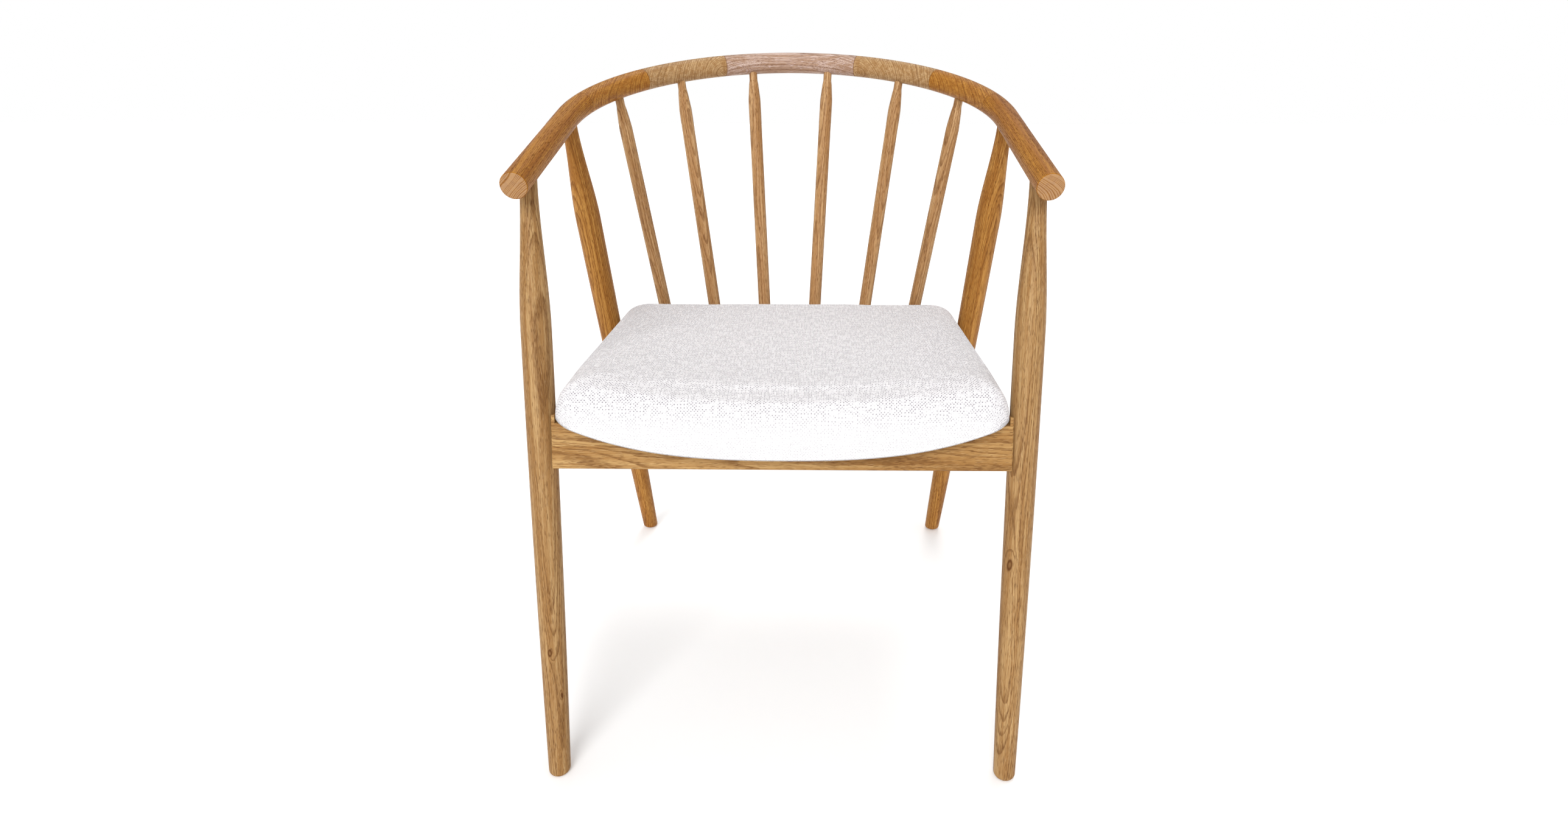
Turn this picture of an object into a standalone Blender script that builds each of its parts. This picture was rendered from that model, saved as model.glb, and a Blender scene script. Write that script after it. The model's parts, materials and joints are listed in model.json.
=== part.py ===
"""A spindle armchair: turned oak legs and spindles under a round oak bow, with an upholstered seat.

The chair faces -Y and stands on z = 0. Depths are measured back from the centres of the front feet,
and the finished chair is moved so that the middle of its box is over the origin. Sizes are in metres.
"""

import math

import bmesh
import bpy
from mathutils import Matrix, Vector

GAP = 0.0003  # between pieces that touch
REACH = 1.0  # how far cutters pass the piece that they cut
OVERLAP = 0.006  # how far a joined or cutting shape starts inside its neighbour

# Widths, from the seat outwards
SEAT_HALF_WIDTH = 0.2475
SEAT_TO_RAIL_END = 0.006
RAIL_END_TO_FOOT = 0.005  # the legs' axes at the floor
FOOT_TO_BOW = 0.0165  # how much further out the bow's arms are
RAIL_END_X = SEAT_HALF_WIDTH + SEAT_TO_RAIL_END  # the rails are housed against the round legs
FOOT_X = RAIL_END_X + RAIL_END_TO_FOOT

# The bow: seen from above a half circle with two straight arms, in a plane that rises to the rear
BOW_RADIUS = FOOT_X + FOOT_TO_BOW
ARM_LENGTH = 0.225
BOW_RISE = math.radians(15.3)
BOW_APEX_DEPTH = 0.620
BOW_APEX_HEIGHT = 0.7865
ROD_RADIUS = 0.0145
ARM_END_ROUNDING = 0.0015
END_RUN = 0.004  # the straight run at either end of a bow block
BACK_SEAM = 0.102  # glue joints, measured along the bow from its apex as seen from above
SHOULDER_SEAM = 0.238
BEND_SEAM = 0.372
BOW_DOWEL_RADIUS = 0.005
BOW_DOWEL_LENGTH = 0.036

# Legs
WHEELBASE = 0.600
FOOT_RADIUS = 0.0122
FOOT_ROUNDING = 0.005
LEG_BELLY_RADIUS = 0.0166
LEG_NECK_RADIUS = 0.0096
LEG_BELLY_SHARE = 0.72  # of the way up the leg
FRONT_LEG_TAPER = 0.160  # length below the bow over which the leg narrows to its neck
REAR_LEG_TAPER = 0.125
FRONT_LEG_SETBACK = 0.051  # from the arm's front end
REAR_LEG_PLACE = 0.429  # along the bow from its apex
LEG_BELOW_FLOOR = 0.012  # the turned blank passes the floor, where it is cut level
LEG_FIRST_RING = 0.020  # profile points of the swell, from the foot
LEG_LAST_RING = 0.030  # and before the taper
LEG_TENON_RADIUS = 0.0070
LEG_TENON_PAST_CENTRE = 0.004

# Spindles
SPINDLES_PER_SIDE = 3
SPINDLE_TOP_PITCH = 0.1158  # along the bow
SPINDLE_FOOT_PITCH = 0.0764  # along the rear rail
SPINDLE_RADIUS = 0.0092
SPINDLE_NECK_RADIUS = 0.0060
SPINDLE_NECK_LENGTH = 0.005
SPINDLE_CONE_LENGTH = 0.034
SPINDLE_TENON_LENGTH = 0.025
SPINDLE_PAST_CENTRE = 0.003

# Seat frame
FRONT_RAIL_THICKNESS = 0.0286
FRONT_RAIL_TALL = 0.060
FRONT_RAIL_MIDDLE = 0.3775  # height of its middle
RAIL_EDGE = 0.0015
SIDE_RAIL_THICKNESS = 0.022
SIDE_RAIL_BOTTOM = 0.350
SIDE_RAIL_TOP = 0.404
REAR_RAIL_BEHIND_BOLT = 0.049  # its middle, which is also the spindles' line, behind the rear legs' bolts
REAR_RAIL_THICKNESS = 0.030
REAR_RAIL_BOTTOM = 0.352
REAR_RAIL_TOP = 0.410
BEARER_AHEAD_OF_BOLT = 0.061
BEARER_THICKNESS = 0.022
TENON_THICKNESS = 0.010
TENON_TALL = 0.036
LEG_TENON_DEPTH = 0.016
RAIL_TENON_DEPTH = 0.014
BEARER_TENON_DEPTH = 0.008
BEARER_TENON_LOW = 0.008  # above the side rail's lower edge
BEARER_TENON_HIGH = 0.030
TENON_DROP = 0.004  # below the middle of the side rails
TENON_ROOT = 0.020  # how far a tenon starts inside its own rail
BLOCK_SIDE = 0.048
BLOCK_NOSE = 0.012  # the short faces beside the slanting one
BLOCK_BOTTOM = 0.354
BLOCK_TOP = 0.380

# Seat: a moulded board under foam, in a fabric cover that turns under the board
SEAT_OVERHANG = 0.0105  # before the front rail's face, at the seat's corners
SEAT_FRONT_BOW = 0.020
SEAT_REAR_CLEARANCE = 0.0025
SEAT_FRONT_CORNER = 0.045
SEAT_REAR_CORNER = 0.040
SEAT_TOP_FRONT = 0.456  # at its sides
SEAT_TOP_REAR = 0.446
SEAT_TOP_DISH = 0.007
SEAT_SHOULDER = 0.030  # how far in the rounding of the top edge reaches
SEAT_SHOULDER_FRONT = 0.038  # and how far down, in front and behind
SEAT_SHOULDER_REAR = 0.026
SEAT_LOW_ROUNDING = 0.007
BOARD_UNDERSIDE = 0.404  # at its sides
BOARD_DISH = 0.021
BOARD_THICKNESS = 0.009
BOARD_INSET = 0.009
BOARD_BEHIND_FACE = 0.0175  # of the front rail
BOARD_CORNER = 0.034
LEAST_CORNER = 0.004
LIP_SIDE = 0.398  # lower edge of the pad, before the board is cut from it
LIP_DROP = 0.0275
LIP_CORNER_LIFT = 0.015
LIFT_START = 0.009  # behind the seat's front, where the lift starts to fade
LIFT_FADE = 0.027
CURVE_POWER = 3
BOARD_STATIONS = (0.3, 0.55, 0.75, 0.9, 1.0)  # where the board's curve has its points
COVER_THICKNESS = 0.0012
COVER_TURN_UNDER = 0.030
DUST_THICKNESS = 0.001
DUST_INSET = 0.014

# Fasteners
SCREW_RADIUS = 0.0021
SCREW_HEAD_RADIUS = 0.0042
SCREW_HEAD = 0.0026
SCREW_NECK = 0.0012
SCREW_POINT = 0.0042
SCREW_TIP_RADIUS = 0.0004
BLOCK_SCREW_LENGTH = 0.033
SCREW_BITE = 0.0165  # of the block screws into the front rail
FRONT_SCREW_PLACE = 0.030  # inward from the side rail
SIDE_SCREW_PLACE = 0.036  # behind the front rail
SIDE_SCREW_DROP = 0.006
SEAT_SCREW_INWARD = 0.014  # of the front ones, from the side rail
SEAT_SCREW_BEHIND = 0.018  # and from the front rail
REAR_SEAT_SCREW_X = 0.120
SEAT_SCREW_BITE = 0.007  # into the board
BOLT_RADIUS = 0.0030
BOLT_HEAD_RADIUS = 0.0065
BOLT_HEAD = 0.0035
BOLT_BITE = 0.015  # into the leg
BOLT_HEIGHT = 0.376
WASHER_RADIUS = 0.0090
WASHER_THICKNESS = 0.0015
INSERT_RADIUS = 0.0050

ROUND_STEPS = 24
SPINDLE_STEPS = 16
SMALL_STEPS = 12
OAK = (0.62, 0.40, 0.21, 1)
SIDES = (("left", -1), ("right", 1))


def make_collection(name):
    collection = bpy.data.collections.new(name)
    bpy.context.scene.collection.children.link(collection)
    return collection


def make_material(name, colour, roughness, metallic=0.0):
    material = bpy.data.materials.new(name)
    material.use_nodes = True
    shader = material.node_tree.nodes["Principled BSDF"]
    shader.inputs["Base Color"].default_value = colour
    shader.inputs["Roughness"].default_value = roughness
    shader.inputs["Metallic"].default_value = metallic
    return material


class Workshop:
    """Holds the collections and the root, and makes each object a part or a cutter."""

    def __init__(self):
        self.parts = make_collection("spindle_chair")
        self.cutters = make_collection("cutters")
        self.root = bpy.data.objects.new("chair_origin", None)
        self.parts.objects.link(self.root)

    def add(self, name, mesh, material=None):
        """A part where a material is given, and a hidden cutter otherwise."""
        obj = bpy.data.objects.new(name, mesh)
        (self.parts if material else self.cutters).objects.link(obj)
        obj.parent = self.root
        if material:
            mesh.materials.append(material)
        else:
            obj.hide_render = True
            obj.display_type = "WIRE"
        return obj


def boolean(target, tool, operation="DIFFERENCE"):
    modifier = target.modifiers.new(f"{operation.title()} {tool.name}", "BOOLEAN")
    modifier.operation = operation
    modifier.object = tool


def soften(obj, width, segments=2):
    """Rounds the sharp edges that the object has at this point of its modifiers."""
    bevel = obj.modifiers.new("Rounded edges", "BEVEL")
    bevel.width = width
    bevel.segments = segments
    bevel.limit_method = "ANGLE"
    bevel.angle_limit = math.radians(50)


def along(base, tip):
    """The frame whose origin is at base and whose Z runs to tip."""
    turn = (tip - base).to_track_quat("Z", "Y").to_matrix().to_4x4()
    return Matrix.Translation(base) @ turn


def box(shop, name, low, high, material=None):
    bm = bmesh.new()
    bmesh.ops.create_cube(bm, size=1)
    low, high = Vector(low), Vector(high)
    for vert in bm.verts:
        vert.co = (low + high) / 2 + vert.co * (high - low)
    mesh = bpy.data.meshes.new(name)
    bm.to_mesh(mesh)
    bm.free()
    return shop.add(name, mesh, material)


def turned(shop, name, profile, base, tip, steps, material=None):
    """A solid turned about the line from base to tip, from a profile of (radius, distance from base)."""
    points = [(0, profile[0][1])] + list(profile) + [(0, profile[-1][1])]
    mesh = bpy.data.meshes.new(name)
    mesh.from_pydata([(r, 0, h) for r, h in points], [(i, i + 1) for i in range(len(points) - 1)], [])
    obj = shop.add(name, mesh, material)
    obj.matrix_world = along(base, tip)
    screw = obj.modifiers.new("Turned", "SCREW")
    screw.steps = screw.render_steps = steps
    screw.use_merge_vertices = True
    screw.merge_threshold = 0.0001
    screw.use_smooth_shade = True
    return obj


def pin(shop, name, base, tip, radius, material=None, steps=SMALL_STEPS):
    length = (tip - base).length
    return turned(shop, name, [(radius, length), (radius, 0)], base, tip, steps, material)


def slab(shop, name, outline, across, low, high, material=None):
    """An outline of two coordinates made solid from low to high along the axis across, X, Y or Z."""
    curve = bpy.data.curves.new(name, "CURVE")
    curve.dimensions = "2D"
    curve.fill_mode = "BOTH"
    curve.extrude = (high - low) / 2
    spline = curve.splines.new("POLY")
    spline.points.add(len(outline) - 1)
    for point, (a, b) in zip(spline.points, outline):
        point.co = (a, b, 0, 1)
    spline.use_cyclic_u = True
    middle = (low + high) / 2
    frames = {
        "X": Matrix(((0, 0, 1, middle), (1, 0, 0, 0), (0, 1, 0, 0), (0, 0, 0, 1))),
        "Y": Matrix(((1, 0, 0, 0), (0, 0, -1, middle), (0, 1, 0, 0), (0, 0, 0, 1))),
        "Z": Matrix.Translation((0, 0, middle)),
    }
    return solidified_curve(shop, name, curve, frames[across], material)


def solidified_curve(shop, name, curve, frame, material):
    """The mesh of a curve object, with its caps joined to its sides, in place of the curve."""
    guide = bpy.data.objects.new(name + "_curve", curve)
    bpy.context.scene.collection.objects.link(guide)
    graph = bpy.context.evaluated_depsgraph_get()
    mesh = bpy.data.meshes.new_from_object(guide.evaluated_get(graph))
    bpy.data.objects.remove(guide)
    bm = bmesh.new()
    bm.from_mesh(mesh)
    bmesh.ops.remove_doubles(bm, verts=bm.verts, dist=0.00001)
    bmesh.ops.recalc_face_normals(bm, faces=bm.faces)
    bmesh.ops.transform(bm, matrix=frame, verts=bm.verts)
    bm.to_mesh(mesh)
    bm.free()
    mesh.materials.clear()
    return shop.add(name, mesh, material)


def bow_point(place):
    """A point of the bow's centre line, at this distance from the apex as seen from above, + to the right."""
    side, place = math.copysign(1, place), abs(place)
    quarter = BOW_RADIUS * math.pi / 2
    turn = min(place, quarter) / BOW_RADIUS
    back = BOW_RADIUS * (1 - math.cos(turn)) + max(place - quarter, 0)
    height = BOW_APEX_HEIGHT - math.tan(BOW_RISE) * back
    return Vector((side * BOW_RADIUS * math.sin(turn), BOW_APEX_DEPTH - back, height))


def bow_direction(place):
    step = 0.0001
    return (bow_point(place + step) - bow_point(place - step)).normalized()


def bow_end():
    return BOW_RADIUS * math.pi / 2 + ARM_LENGTH


def rod(shop, name, start, end, radius, material=None):
    """The bow from one place to another. Its first and last runs are short, so that both ends are square."""
    steps = max(2, round((end - start) / (BOW_RADIUS * math.radians(6))))
    places = [start + (end - start) * i / steps for i in range(1, steps)]
    first, last = bow_point(start), bow_point(end)
    points = [first, first + bow_direction(start) * END_RUN]
    points += [bow_point(place) for place in places if start + END_RUN * 1.5 < place < end - END_RUN * 1.5]
    points += [last - bow_direction(end) * END_RUN, last]
    curve = bpy.data.curves.new(name, "CURVE")
    curve.dimensions = "3D"
    curve.bevel_depth = radius
    curve.bevel_resolution = ROUND_STEPS // 2 - 2
    curve.use_fill_caps = True
    spline = curve.splines.new("POLY")
    spline.points.add(len(points) - 1)
    for point, co in zip(spline.points, points):
        point.co = (*co, 1)
    return solidified_curve(shop, name, curve, Matrix(), material)


def is_near(face, centre):
    return (face.calc_center_median() - centre).length < ROD_RADIUS


def round_arm_end(obj, centre):
    """Rounds the ring of edges round the cap at centre."""
    bm = bmesh.new()
    bm.from_mesh(obj.data)
    cap = min(bm.faces, key=lambda face: (face.calc_center_median() - centre).length)
    near = [f for f in bm.faces if f.normal.dot(cap.normal) > 0.99 and is_near(f, centre)]
    rim = [e for e in {e for f in near for e in f.edges} if len([f for f in e.link_faces if f in near]) == 1]
    bmesh.ops.bevel(bm, geom=rim, offset=ARM_END_ROUNDING, segments=2, profile=0.5, affect="EDGES")
    bm.to_mesh(obj.data)
    bm.free()


def make_bow(shop, oak):
    """Seven blocks, end to end, with a dowel across each of the six joints."""
    end = bow_end()
    spans = {"back_rail": (-BACK_SEAM, BACK_SEAM)}
    for side, sign in SIDES:
        for piece, near, far in (
            ("shoulder_rail", BACK_SEAM, SHOULDER_SEAM),
            ("bend_rail", SHOULDER_SEAM, BEND_SEAM),
            ("arm_rail", BEND_SEAM, end),
        ):
            spans[f"{side}_{piece}"] = tuple(sorted((sign * near, sign * far)))
    blocks = {}
    for name, (start, stop) in spans.items():
        start += GAP / 2 if start > -end else 0
        stop -= GAP / 2 if stop < end else 0
        blocks[name] = rod(shop, name, start, stop, ROD_RADIUS, oak)
    for side, sign in SIDES:
        round_arm_end(blocks[f"{side}_arm_rail"], bow_point(sign * end))
    for side, sign in SIDES:
        for joint, seam, near, far in (
            ("back", BACK_SEAM, "back_rail", f"{side}_shoulder_rail"),
            ("shoulder", SHOULDER_SEAM, f"{side}_shoulder_rail", f"{side}_bend_rail"),
            ("bend", BEND_SEAM, f"{side}_bend_rail", f"{side}_arm_rail"),
        ):
            middle, way = bow_point(sign * seam), bow_direction(sign * seam)
            half = way * BOW_DOWEL_LENGTH / 2
            name = f"{side}_{joint}_dowel"
            pin(shop, name, middle - half, middle + half, BOW_DOWEL_RADIUS, oak)
            more = way * (BOW_DOWEL_LENGTH / 2 + GAP)
            hole = pin(shop, name + "_hole", middle - more, middle + more, BOW_DOWEL_RADIUS + GAP)
            for block in (near, far):
                boolean(blocks[block], hole)
    return blocks


def leg_ends(front, sign):
    """The leg's axis, from the floor to the bow's centre line."""
    place = bow_end() - FRONT_LEG_SETBACK if front else REAR_LEG_PLACE
    foot = Vector((sign * FOOT_X, 0 if front else WHEELBASE, 0))
    return foot, bow_point(sign * place)


def leg_radius(distance, length, taper):
    """A long swell from the foot to the belly, then an S-shaped taper to the neck below the bow."""
    rise = min(distance / (length * LEG_BELLY_SHARE), 1)
    swell = math.sin(rise * math.pi / 2) ** 0.85 if rise > 0 else 0
    radius = FOOT_RADIUS + (LEG_BELLY_RADIUS - FOOT_RADIUS) * swell
    fall = min(max((distance - length + taper + ROD_RADIUS) / taper, 0), 1)
    return radius - (LEG_BELLY_RADIUS - LEG_NECK_RADIUS) * fall * fall * (3 - 2 * fall)


def make_legs(shop, oak, blocks, bow_space):
    legs = {}
    floor = box(shop, "floor_cut", (-REACH, -REACH, -REACH), (REACH, WHEELBASE + REACH, 0))
    for front in (True, False):
        for side, sign in SIDES:
            foot, top = leg_ends(front, sign)
            length = (top - foot).length
            taper = FRONT_LEG_TAPER if front else REAR_LEG_TAPER
            first, last = LEG_FIRST_RING, length - taper - LEG_LAST_RING
            swell = [first + (last - first) * i / 6 for i in range(7)]
            narrowing = [length - taper - ROD_RADIUS + taper * i / 7 for i in range(8)]
            heights = [-LEG_BELOW_FLOOR] + swell + narrowing + [length]
            profile = [(leg_radius(h, length, taper), h) for h in reversed(heights)]
            name = f"{'front' if front else 'rear'}_leg_{side}"
            way = (top - foot).normalized()
            profile = [(r, h + LEG_BELOW_FLOOR) for r, h in profile]
            leg = turned(shop, name, profile, foot - way * LEG_BELOW_FLOOR, top, ROUND_STEPS, oak)
            boolean(leg, floor)
            soften(leg, FOOT_ROUNDING, 3)
            boolean(leg, bow_space)
            root = top - way * (ROD_RADIUS + OVERLAP)
            tip = top + way * LEG_TENON_PAST_CENTRE
            boolean(leg, pin(shop, name + "_tenon", root, tip, LEG_TENON_RADIUS), "UNION")
            hole = pin(shop, name + "_hole", root, tip + way * GAP, LEG_TENON_RADIUS + GAP)
            boolean(blocks[f"{side}_arm_rail"], hole)
            legs[name] = leg
    return legs


def spindle_ends(number, sign):
    """The spindle's axis, from the top of the rear rail to the bow's centre line."""
    step = number - 0.5
    foot = Vector((sign * SPINDLE_FOOT_PITCH * step, rear_rail_depth(), REAR_RAIL_TOP))
    return foot, bow_point(sign * SPINDLE_TOP_PITCH * step)


def make_spindles(shop, oak, blocks, rear_rail):
    for side, sign in SIDES:
        for number in range(1, SPINDLES_PER_SIDE + 1):
            foot, top = spindle_ends(number, sign)
            way = (top - foot).normalized()
            base = foot - way * SPINDLE_TENON_LENGTH
            tip = top + way * SPINDLE_PAST_CENTRE
            end = (tip - base).length
            under_bow = end - SPINDLE_PAST_CENTRE - ROD_RADIUS
            low_cone = SPINDLE_TENON_LENGTH + SPINDLE_NECK_LENGTH
            high_cone = under_bow - SPINDLE_NECK_LENGTH
            profile = [
                (SPINDLE_NECK_RADIUS, end),
                (SPINDLE_NECK_RADIUS, high_cone),
                (SPINDLE_RADIUS, high_cone - SPINDLE_CONE_LENGTH),
                (SPINDLE_RADIUS, low_cone + SPINDLE_CONE_LENGTH / 2),
                (SPINDLE_NECK_RADIUS, low_cone),
                (SPINDLE_NECK_RADIUS, 0),
            ]
            name = f"{side}_spindle_{number}"
            turned(shop, name, profile, base, tip, SPINDLE_STEPS, oak)
            wide = SPINDLE_NECK_RADIUS + GAP
            above = foot + way * OVERLAP
            in_rail = pin(shop, name + "_rail_hole", base - way * GAP, above, wide, None, SPINDLE_STEPS)
            boolean(rear_rail, in_rail)
            below_bow = top - way * (ROD_RADIUS + OVERLAP)
            in_bow = pin(shop, name + "_bow_hole", below_bow, tip + way * GAP, wide, None, SPINDLE_STEPS)
            reach = abs(SPINDLE_TOP_PITCH * (number - 0.5))
            block = f"{side}_{'shoulder' if reach < SHOULDER_SEAM else 'bend'}_rail"
            block = "back_rail" if reach < BACK_SEAM else block
            boolean(blocks[block], in_bow)


def bolt_depth():
    """Depth of the rear legs' axes at the height of their bolts."""
    foot, top = leg_ends(False, 1)
    return foot.y + (top.y - foot.y) * BOLT_HEIGHT / top.z


def rear_rail_depth():
    return bolt_depth() + REAR_RAIL_BEHIND_BOLT


def bearer_depth():
    return bolt_depth() - BEARER_AHEAD_OF_BOLT


def front_lean():
    """The angle by which the front legs and the front rail lean back."""
    foot, top = leg_ends(True, 1)
    return math.atan2(top.y - foot.y, top.z - foot.z)


def front_rail_back(height):
    """Depth of the front rail's rear face at this height."""
    return height * math.tan(front_lean()) + FRONT_RAIL_THICKNESS / 2 / math.cos(front_lean())


def front_rail_face():
    """Depth of the front rail's front face at its middle."""
    return front_rail_back(FRONT_RAIL_MIDDLE) - FRONT_RAIL_THICKNESS / math.cos(front_lean())


def seat_front():
    return front_rail_face() - SEAT_OVERHANG


def seat_rear():
    return rear_rail_depth() - REAR_RAIL_THICKNESS / 2 - SEAT_REAR_CLEARANCE


def front_rail_frame():
    """The front rail leans back with the front legs, and is centred on their axes."""
    middle = Vector((0, FRONT_RAIL_MIDDLE * math.tan(front_lean()), FRONT_RAIL_MIDDLE))
    return Matrix.Translation(middle) @ Matrix.Rotation(-front_lean(), 4, "X")


def front_rail_box(shop, name, frame, grow, material=None):
    half = FRONT_RAIL_THICKNESS / 2 + grow
    tall = FRONT_RAIL_TALL / 2 + grow
    end = RAIL_END_X + grow
    rail = box(shop, name, (-end, -half, -tall), (end, half, tall), material)
    rail.matrix_world = frame
    return rail


def tenon(shop, name, rails, mortised, low, high, frame=None):
    """A square tenon joined to one rail, and its mortise in each piece that it enters."""
    for suffix, grow in (("_tenon", 0), ("_mortise", GAP)):
        more = Vector((grow, grow, grow))
        block = box(shop, name + suffix, Vector(low) - more, Vector(high) + more)
        if frame:
            block.matrix_world = frame
        for piece in mortised if grow else rails:
            boolean(piece, block, "DIFFERENCE" if grow else "UNION")


def make_frame(shop, oak, legs):
    """Front, side and rear rails, and the bearer, with their tenons. The seat's space is cut from them."""
    lean_frame = front_rail_frame()
    front = front_rail_box(shop, "front_rail", lean_frame, 0, oak)
    soften(front, RAIL_EDGE)
    front_space = front_rail_box(shop, "front_rail_space", lean_frame, GAP)
    rear_face = rear_rail_depth() - REAR_RAIL_THICKNESS / 2
    rear = box(
        shop,
        "rear_rail",
        (-RAIL_END_X, rear_face, REAR_RAIL_BOTTOM),
        (RAIL_END_X, rear_face + REAR_RAIL_THICKNESS, REAR_RAIL_TOP),
        oak,
    )
    soften(rear, RAIL_EDGE)
    inner = RAIL_END_X - SIDE_RAIL_THICKNESS
    bearer_front = bearer_depth() - BEARER_THICKNESS / 2
    bearer = box(
        shop,
        "rear_bearer",
        (-inner + GAP, bearer_front, SIDE_RAIL_BOTTOM),
        (inner - GAP, bearer_front + BEARER_THICKNESS, SIDE_RAIL_TOP),
        oak,
    )
    soften(bearer, RAIL_EDGE)
    seat_space = seat_clearance(shop)
    rails = {"front_rail": front, "rear_rail": rear, "rear_bearer": bearer}
    middle = (SIDE_RAIL_BOTTOM + SIDE_RAIL_TOP) / 2 - TENON_DROP
    low_z, high_z = middle - TENON_TALL / 2, middle + TENON_TALL / 2
    rail_back = front_rail_back(middle)
    for side, sign in SIDES:
        name = f"{side}_side_rail"
        xs = sorted((sign * inner, sign * RAIL_END_X))
        start = rail_back - FRONT_RAIL_THICKNESS / 2
        rail = box(
            shop, name, (xs[0], start, SIDE_RAIL_BOTTOM), (xs[1], rear_face - GAP, SIDE_RAIL_TOP), oak
        )
        soften(rail, RAIL_EDGE)
        boolean(rail, front_space)
        rails[name] = rail
        mid_x = sign * (RAIL_END_X - SIDE_RAIL_THICKNESS / 2)
        half = TENON_THICKNESS / 2
        tenon(
            shop,
            name + "_front",
            [rail],
            [front],
            (mid_x - half, rail_back - RAIL_TENON_DEPTH, low_z),
            (mid_x + half, rail_back + TENON_ROOT, high_z),
        )
        tenon(
            shop,
            name + "_rear",
            [rail],
            [rear],
            (mid_x - half, rear_face - TENON_ROOT, low_z),
            (mid_x + half, rear_face + RAIL_TENON_DEPTH, high_z),
        )
        ends = sorted((sign * (inner - TENON_ROOT), sign * (inner + BEARER_TENON_DEPTH)))
        tenon(
            shop,
            f"{side}_bearer",
            [bearer],
            [rail],
            (ends[0], bearer_depth() - half, SIDE_RAIL_BOTTOM + BEARER_TENON_LOW),
            (ends[1], bearer_depth() + half, SIDE_RAIL_BOTTOM + BEARER_TENON_HIGH),
        )
        ends = sorted((sign * (RAIL_END_X - GAP * 10), sign * (RAIL_END_X + LEG_TENON_DEPTH)))
        leg = legs[f"front_leg_{side}"]
        boolean(leg, front_space)
        tenon(
            shop,
            f"{side}_front_rail_end",
            [front],
            [leg],
            (ends[0], -half, -TENON_TALL / 2),
            (ends[1], half, TENON_TALL / 2),
            lean_frame,
        )
        space = box(
            shop,
            name + "_space",
            (xs[0] - GAP, bearer_depth(), SIDE_RAIL_BOTTOM - GAP),
            (xs[1] + GAP, rear_face, SIDE_RAIL_TOP + GAP),
        )
        boolean(legs[f"rear_leg_{side}"], space)
        boolean(rail, seat_space)
    boolean(front, seat_space)
    boolean(bearer, seat_space)
    return rails


def curve_share(x):
    """0 on the centre line to 1 at the seat's sides, flat in the middle and steep at the sides."""
    return min(abs(x) / SEAT_HALF_WIDTH, 1) ** CURVE_POWER


def board_underside(x):
    return BOARD_UNDERSIDE - BOARD_DISH * (1 - curve_share(x))


def dished(lift, beyond=BOARD_INSET):
    """Points along the board's underside from left to right, raised by lift, level past the seat's sides."""
    xs = [share * SEAT_HALF_WIDTH for share in BOARD_STATIONS]
    right = [(x, board_underside(x) + lift) for x in xs]
    right.append((right[-1][0] + beyond, right[-1][1]))
    return [(-x, z) for x, z in reversed(right)] + right


def layer(shop, name, low, high, material=None):
    """A sheet that follows the board, between two heights from its underside."""
    return slab(shop, name, dished(low) + dished(high)[::-1], "Y", -REACH, REACH, material)


def seat_clearance(shop):
    """What the seat and its covers take from the rails below."""
    edge = dished(-COVER_THICKNESS - DUST_THICKNESS - 3 * GAP, COVER_THICKNESS + 2 * GAP)
    return slab(shop, "seat_space", edge + [(edge[-1][0], REACH), (edge[0][0], REACH)], "Y", -REACH, REACH)


def seat_outline(inset):
    """The seat as seen from above, with round corners and a bowed front, moved in by inset."""
    half = SEAT_HALF_WIDTH - inset
    front, rear = seat_front() + inset, seat_rear() - inset
    points = []
    for x_sign, y_sign, start in ((1, 1, 0), (-1, 1, 90), (-1, -1, 180), (1, -1, 270)):
        corner = max((SEAT_REAR_CORNER if y_sign > 0 else SEAT_FRONT_CORNER) - inset, LEAST_CORNER)
        centre = Vector((x_sign * (half - corner), rear - corner if y_sign > 0 else front + corner))
        for i in range(6):
            turn = math.radians(start + 18 * i)
            points.append(centre + corner * Vector((math.cos(turn), math.sin(turn))))
        ahead = Vector((-y_sign, 0)) if x_sign * y_sign > 0 else Vector((0, x_sign))
        reach = 2 * (half - corner) if ahead.x else rear - front - SEAT_REAR_CORNER - SEAT_FRONT_CORNER
        count = 5 if ahead.x else 3
        corner_end = points[-1]
        points += [corner_end + ahead * reach * i / (count + 1) for i in range(1, count + 1)]
    bowed = seat_front() + SEAT_FRONT_CORNER
    return [Vector((p.x, p.y - SEAT_FRONT_BOW * (1 - (p.x / half) ** 2) * (p.y < bowed))) for p in points]


def board_outline(grow):
    """The board as seen from above. Its front edge rests on the front rail, behind the padded lip."""
    half = SEAT_HALF_WIDTH - BOARD_INSET + grow
    front, rear = front_rail_face() + BOARD_BEHIND_FACE - grow, seat_rear() - BOARD_INSET + grow
    corner = max(BOARD_CORNER + grow, LEAST_CORNER)
    points = []
    for x_sign, y_sign, start in ((1, 1, 0), (-1, 1, 90), (-1, -1, 180), (1, -1, 270)):
        centre = Vector((x_sign * (half - corner), rear - corner if y_sign > 0 else front + corner))
        points += [centre + corner * Vector(unit_turn(start + 22.5 * i)) for i in range(5)]
    return points


def unit_turn(degrees):
    return math.cos(math.radians(degrees)), math.sin(math.radians(degrees))


def pad_top(x, y):
    """Height of the seat's crown: dished across, and lower at the rear."""
    back = (y - seat_front()) / (seat_rear() - seat_front())
    across = 1 - min(abs(x) / SEAT_HALF_WIDTH, 1) ** 2
    return SEAT_TOP_FRONT + (SEAT_TOP_REAR - SEAT_TOP_FRONT) * back - SEAT_TOP_DISH * across


def pad_low(x, y):
    """Height of the pad's lower edge: lowest in the middle, and lifted at the front corners."""
    start = seat_front() + LIFT_START
    past_corner = min(max(y - start, 0) / LIFT_FADE, 1)
    lift = LIP_CORNER_LIFT * (1 - past_corner * past_corner * (3 - 2 * past_corner))
    return LIP_SIDE + lift * curve_share(x) - LIP_DROP * (1 - curve_share(x))


def shoulder_drop(y):
    back = (y - seat_front()) / (seat_rear() - seat_front())
    return SEAT_SHOULDER_FRONT + (SEAT_SHOULDER_REAR - SEAT_SHOULDER_FRONT) * back


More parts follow.
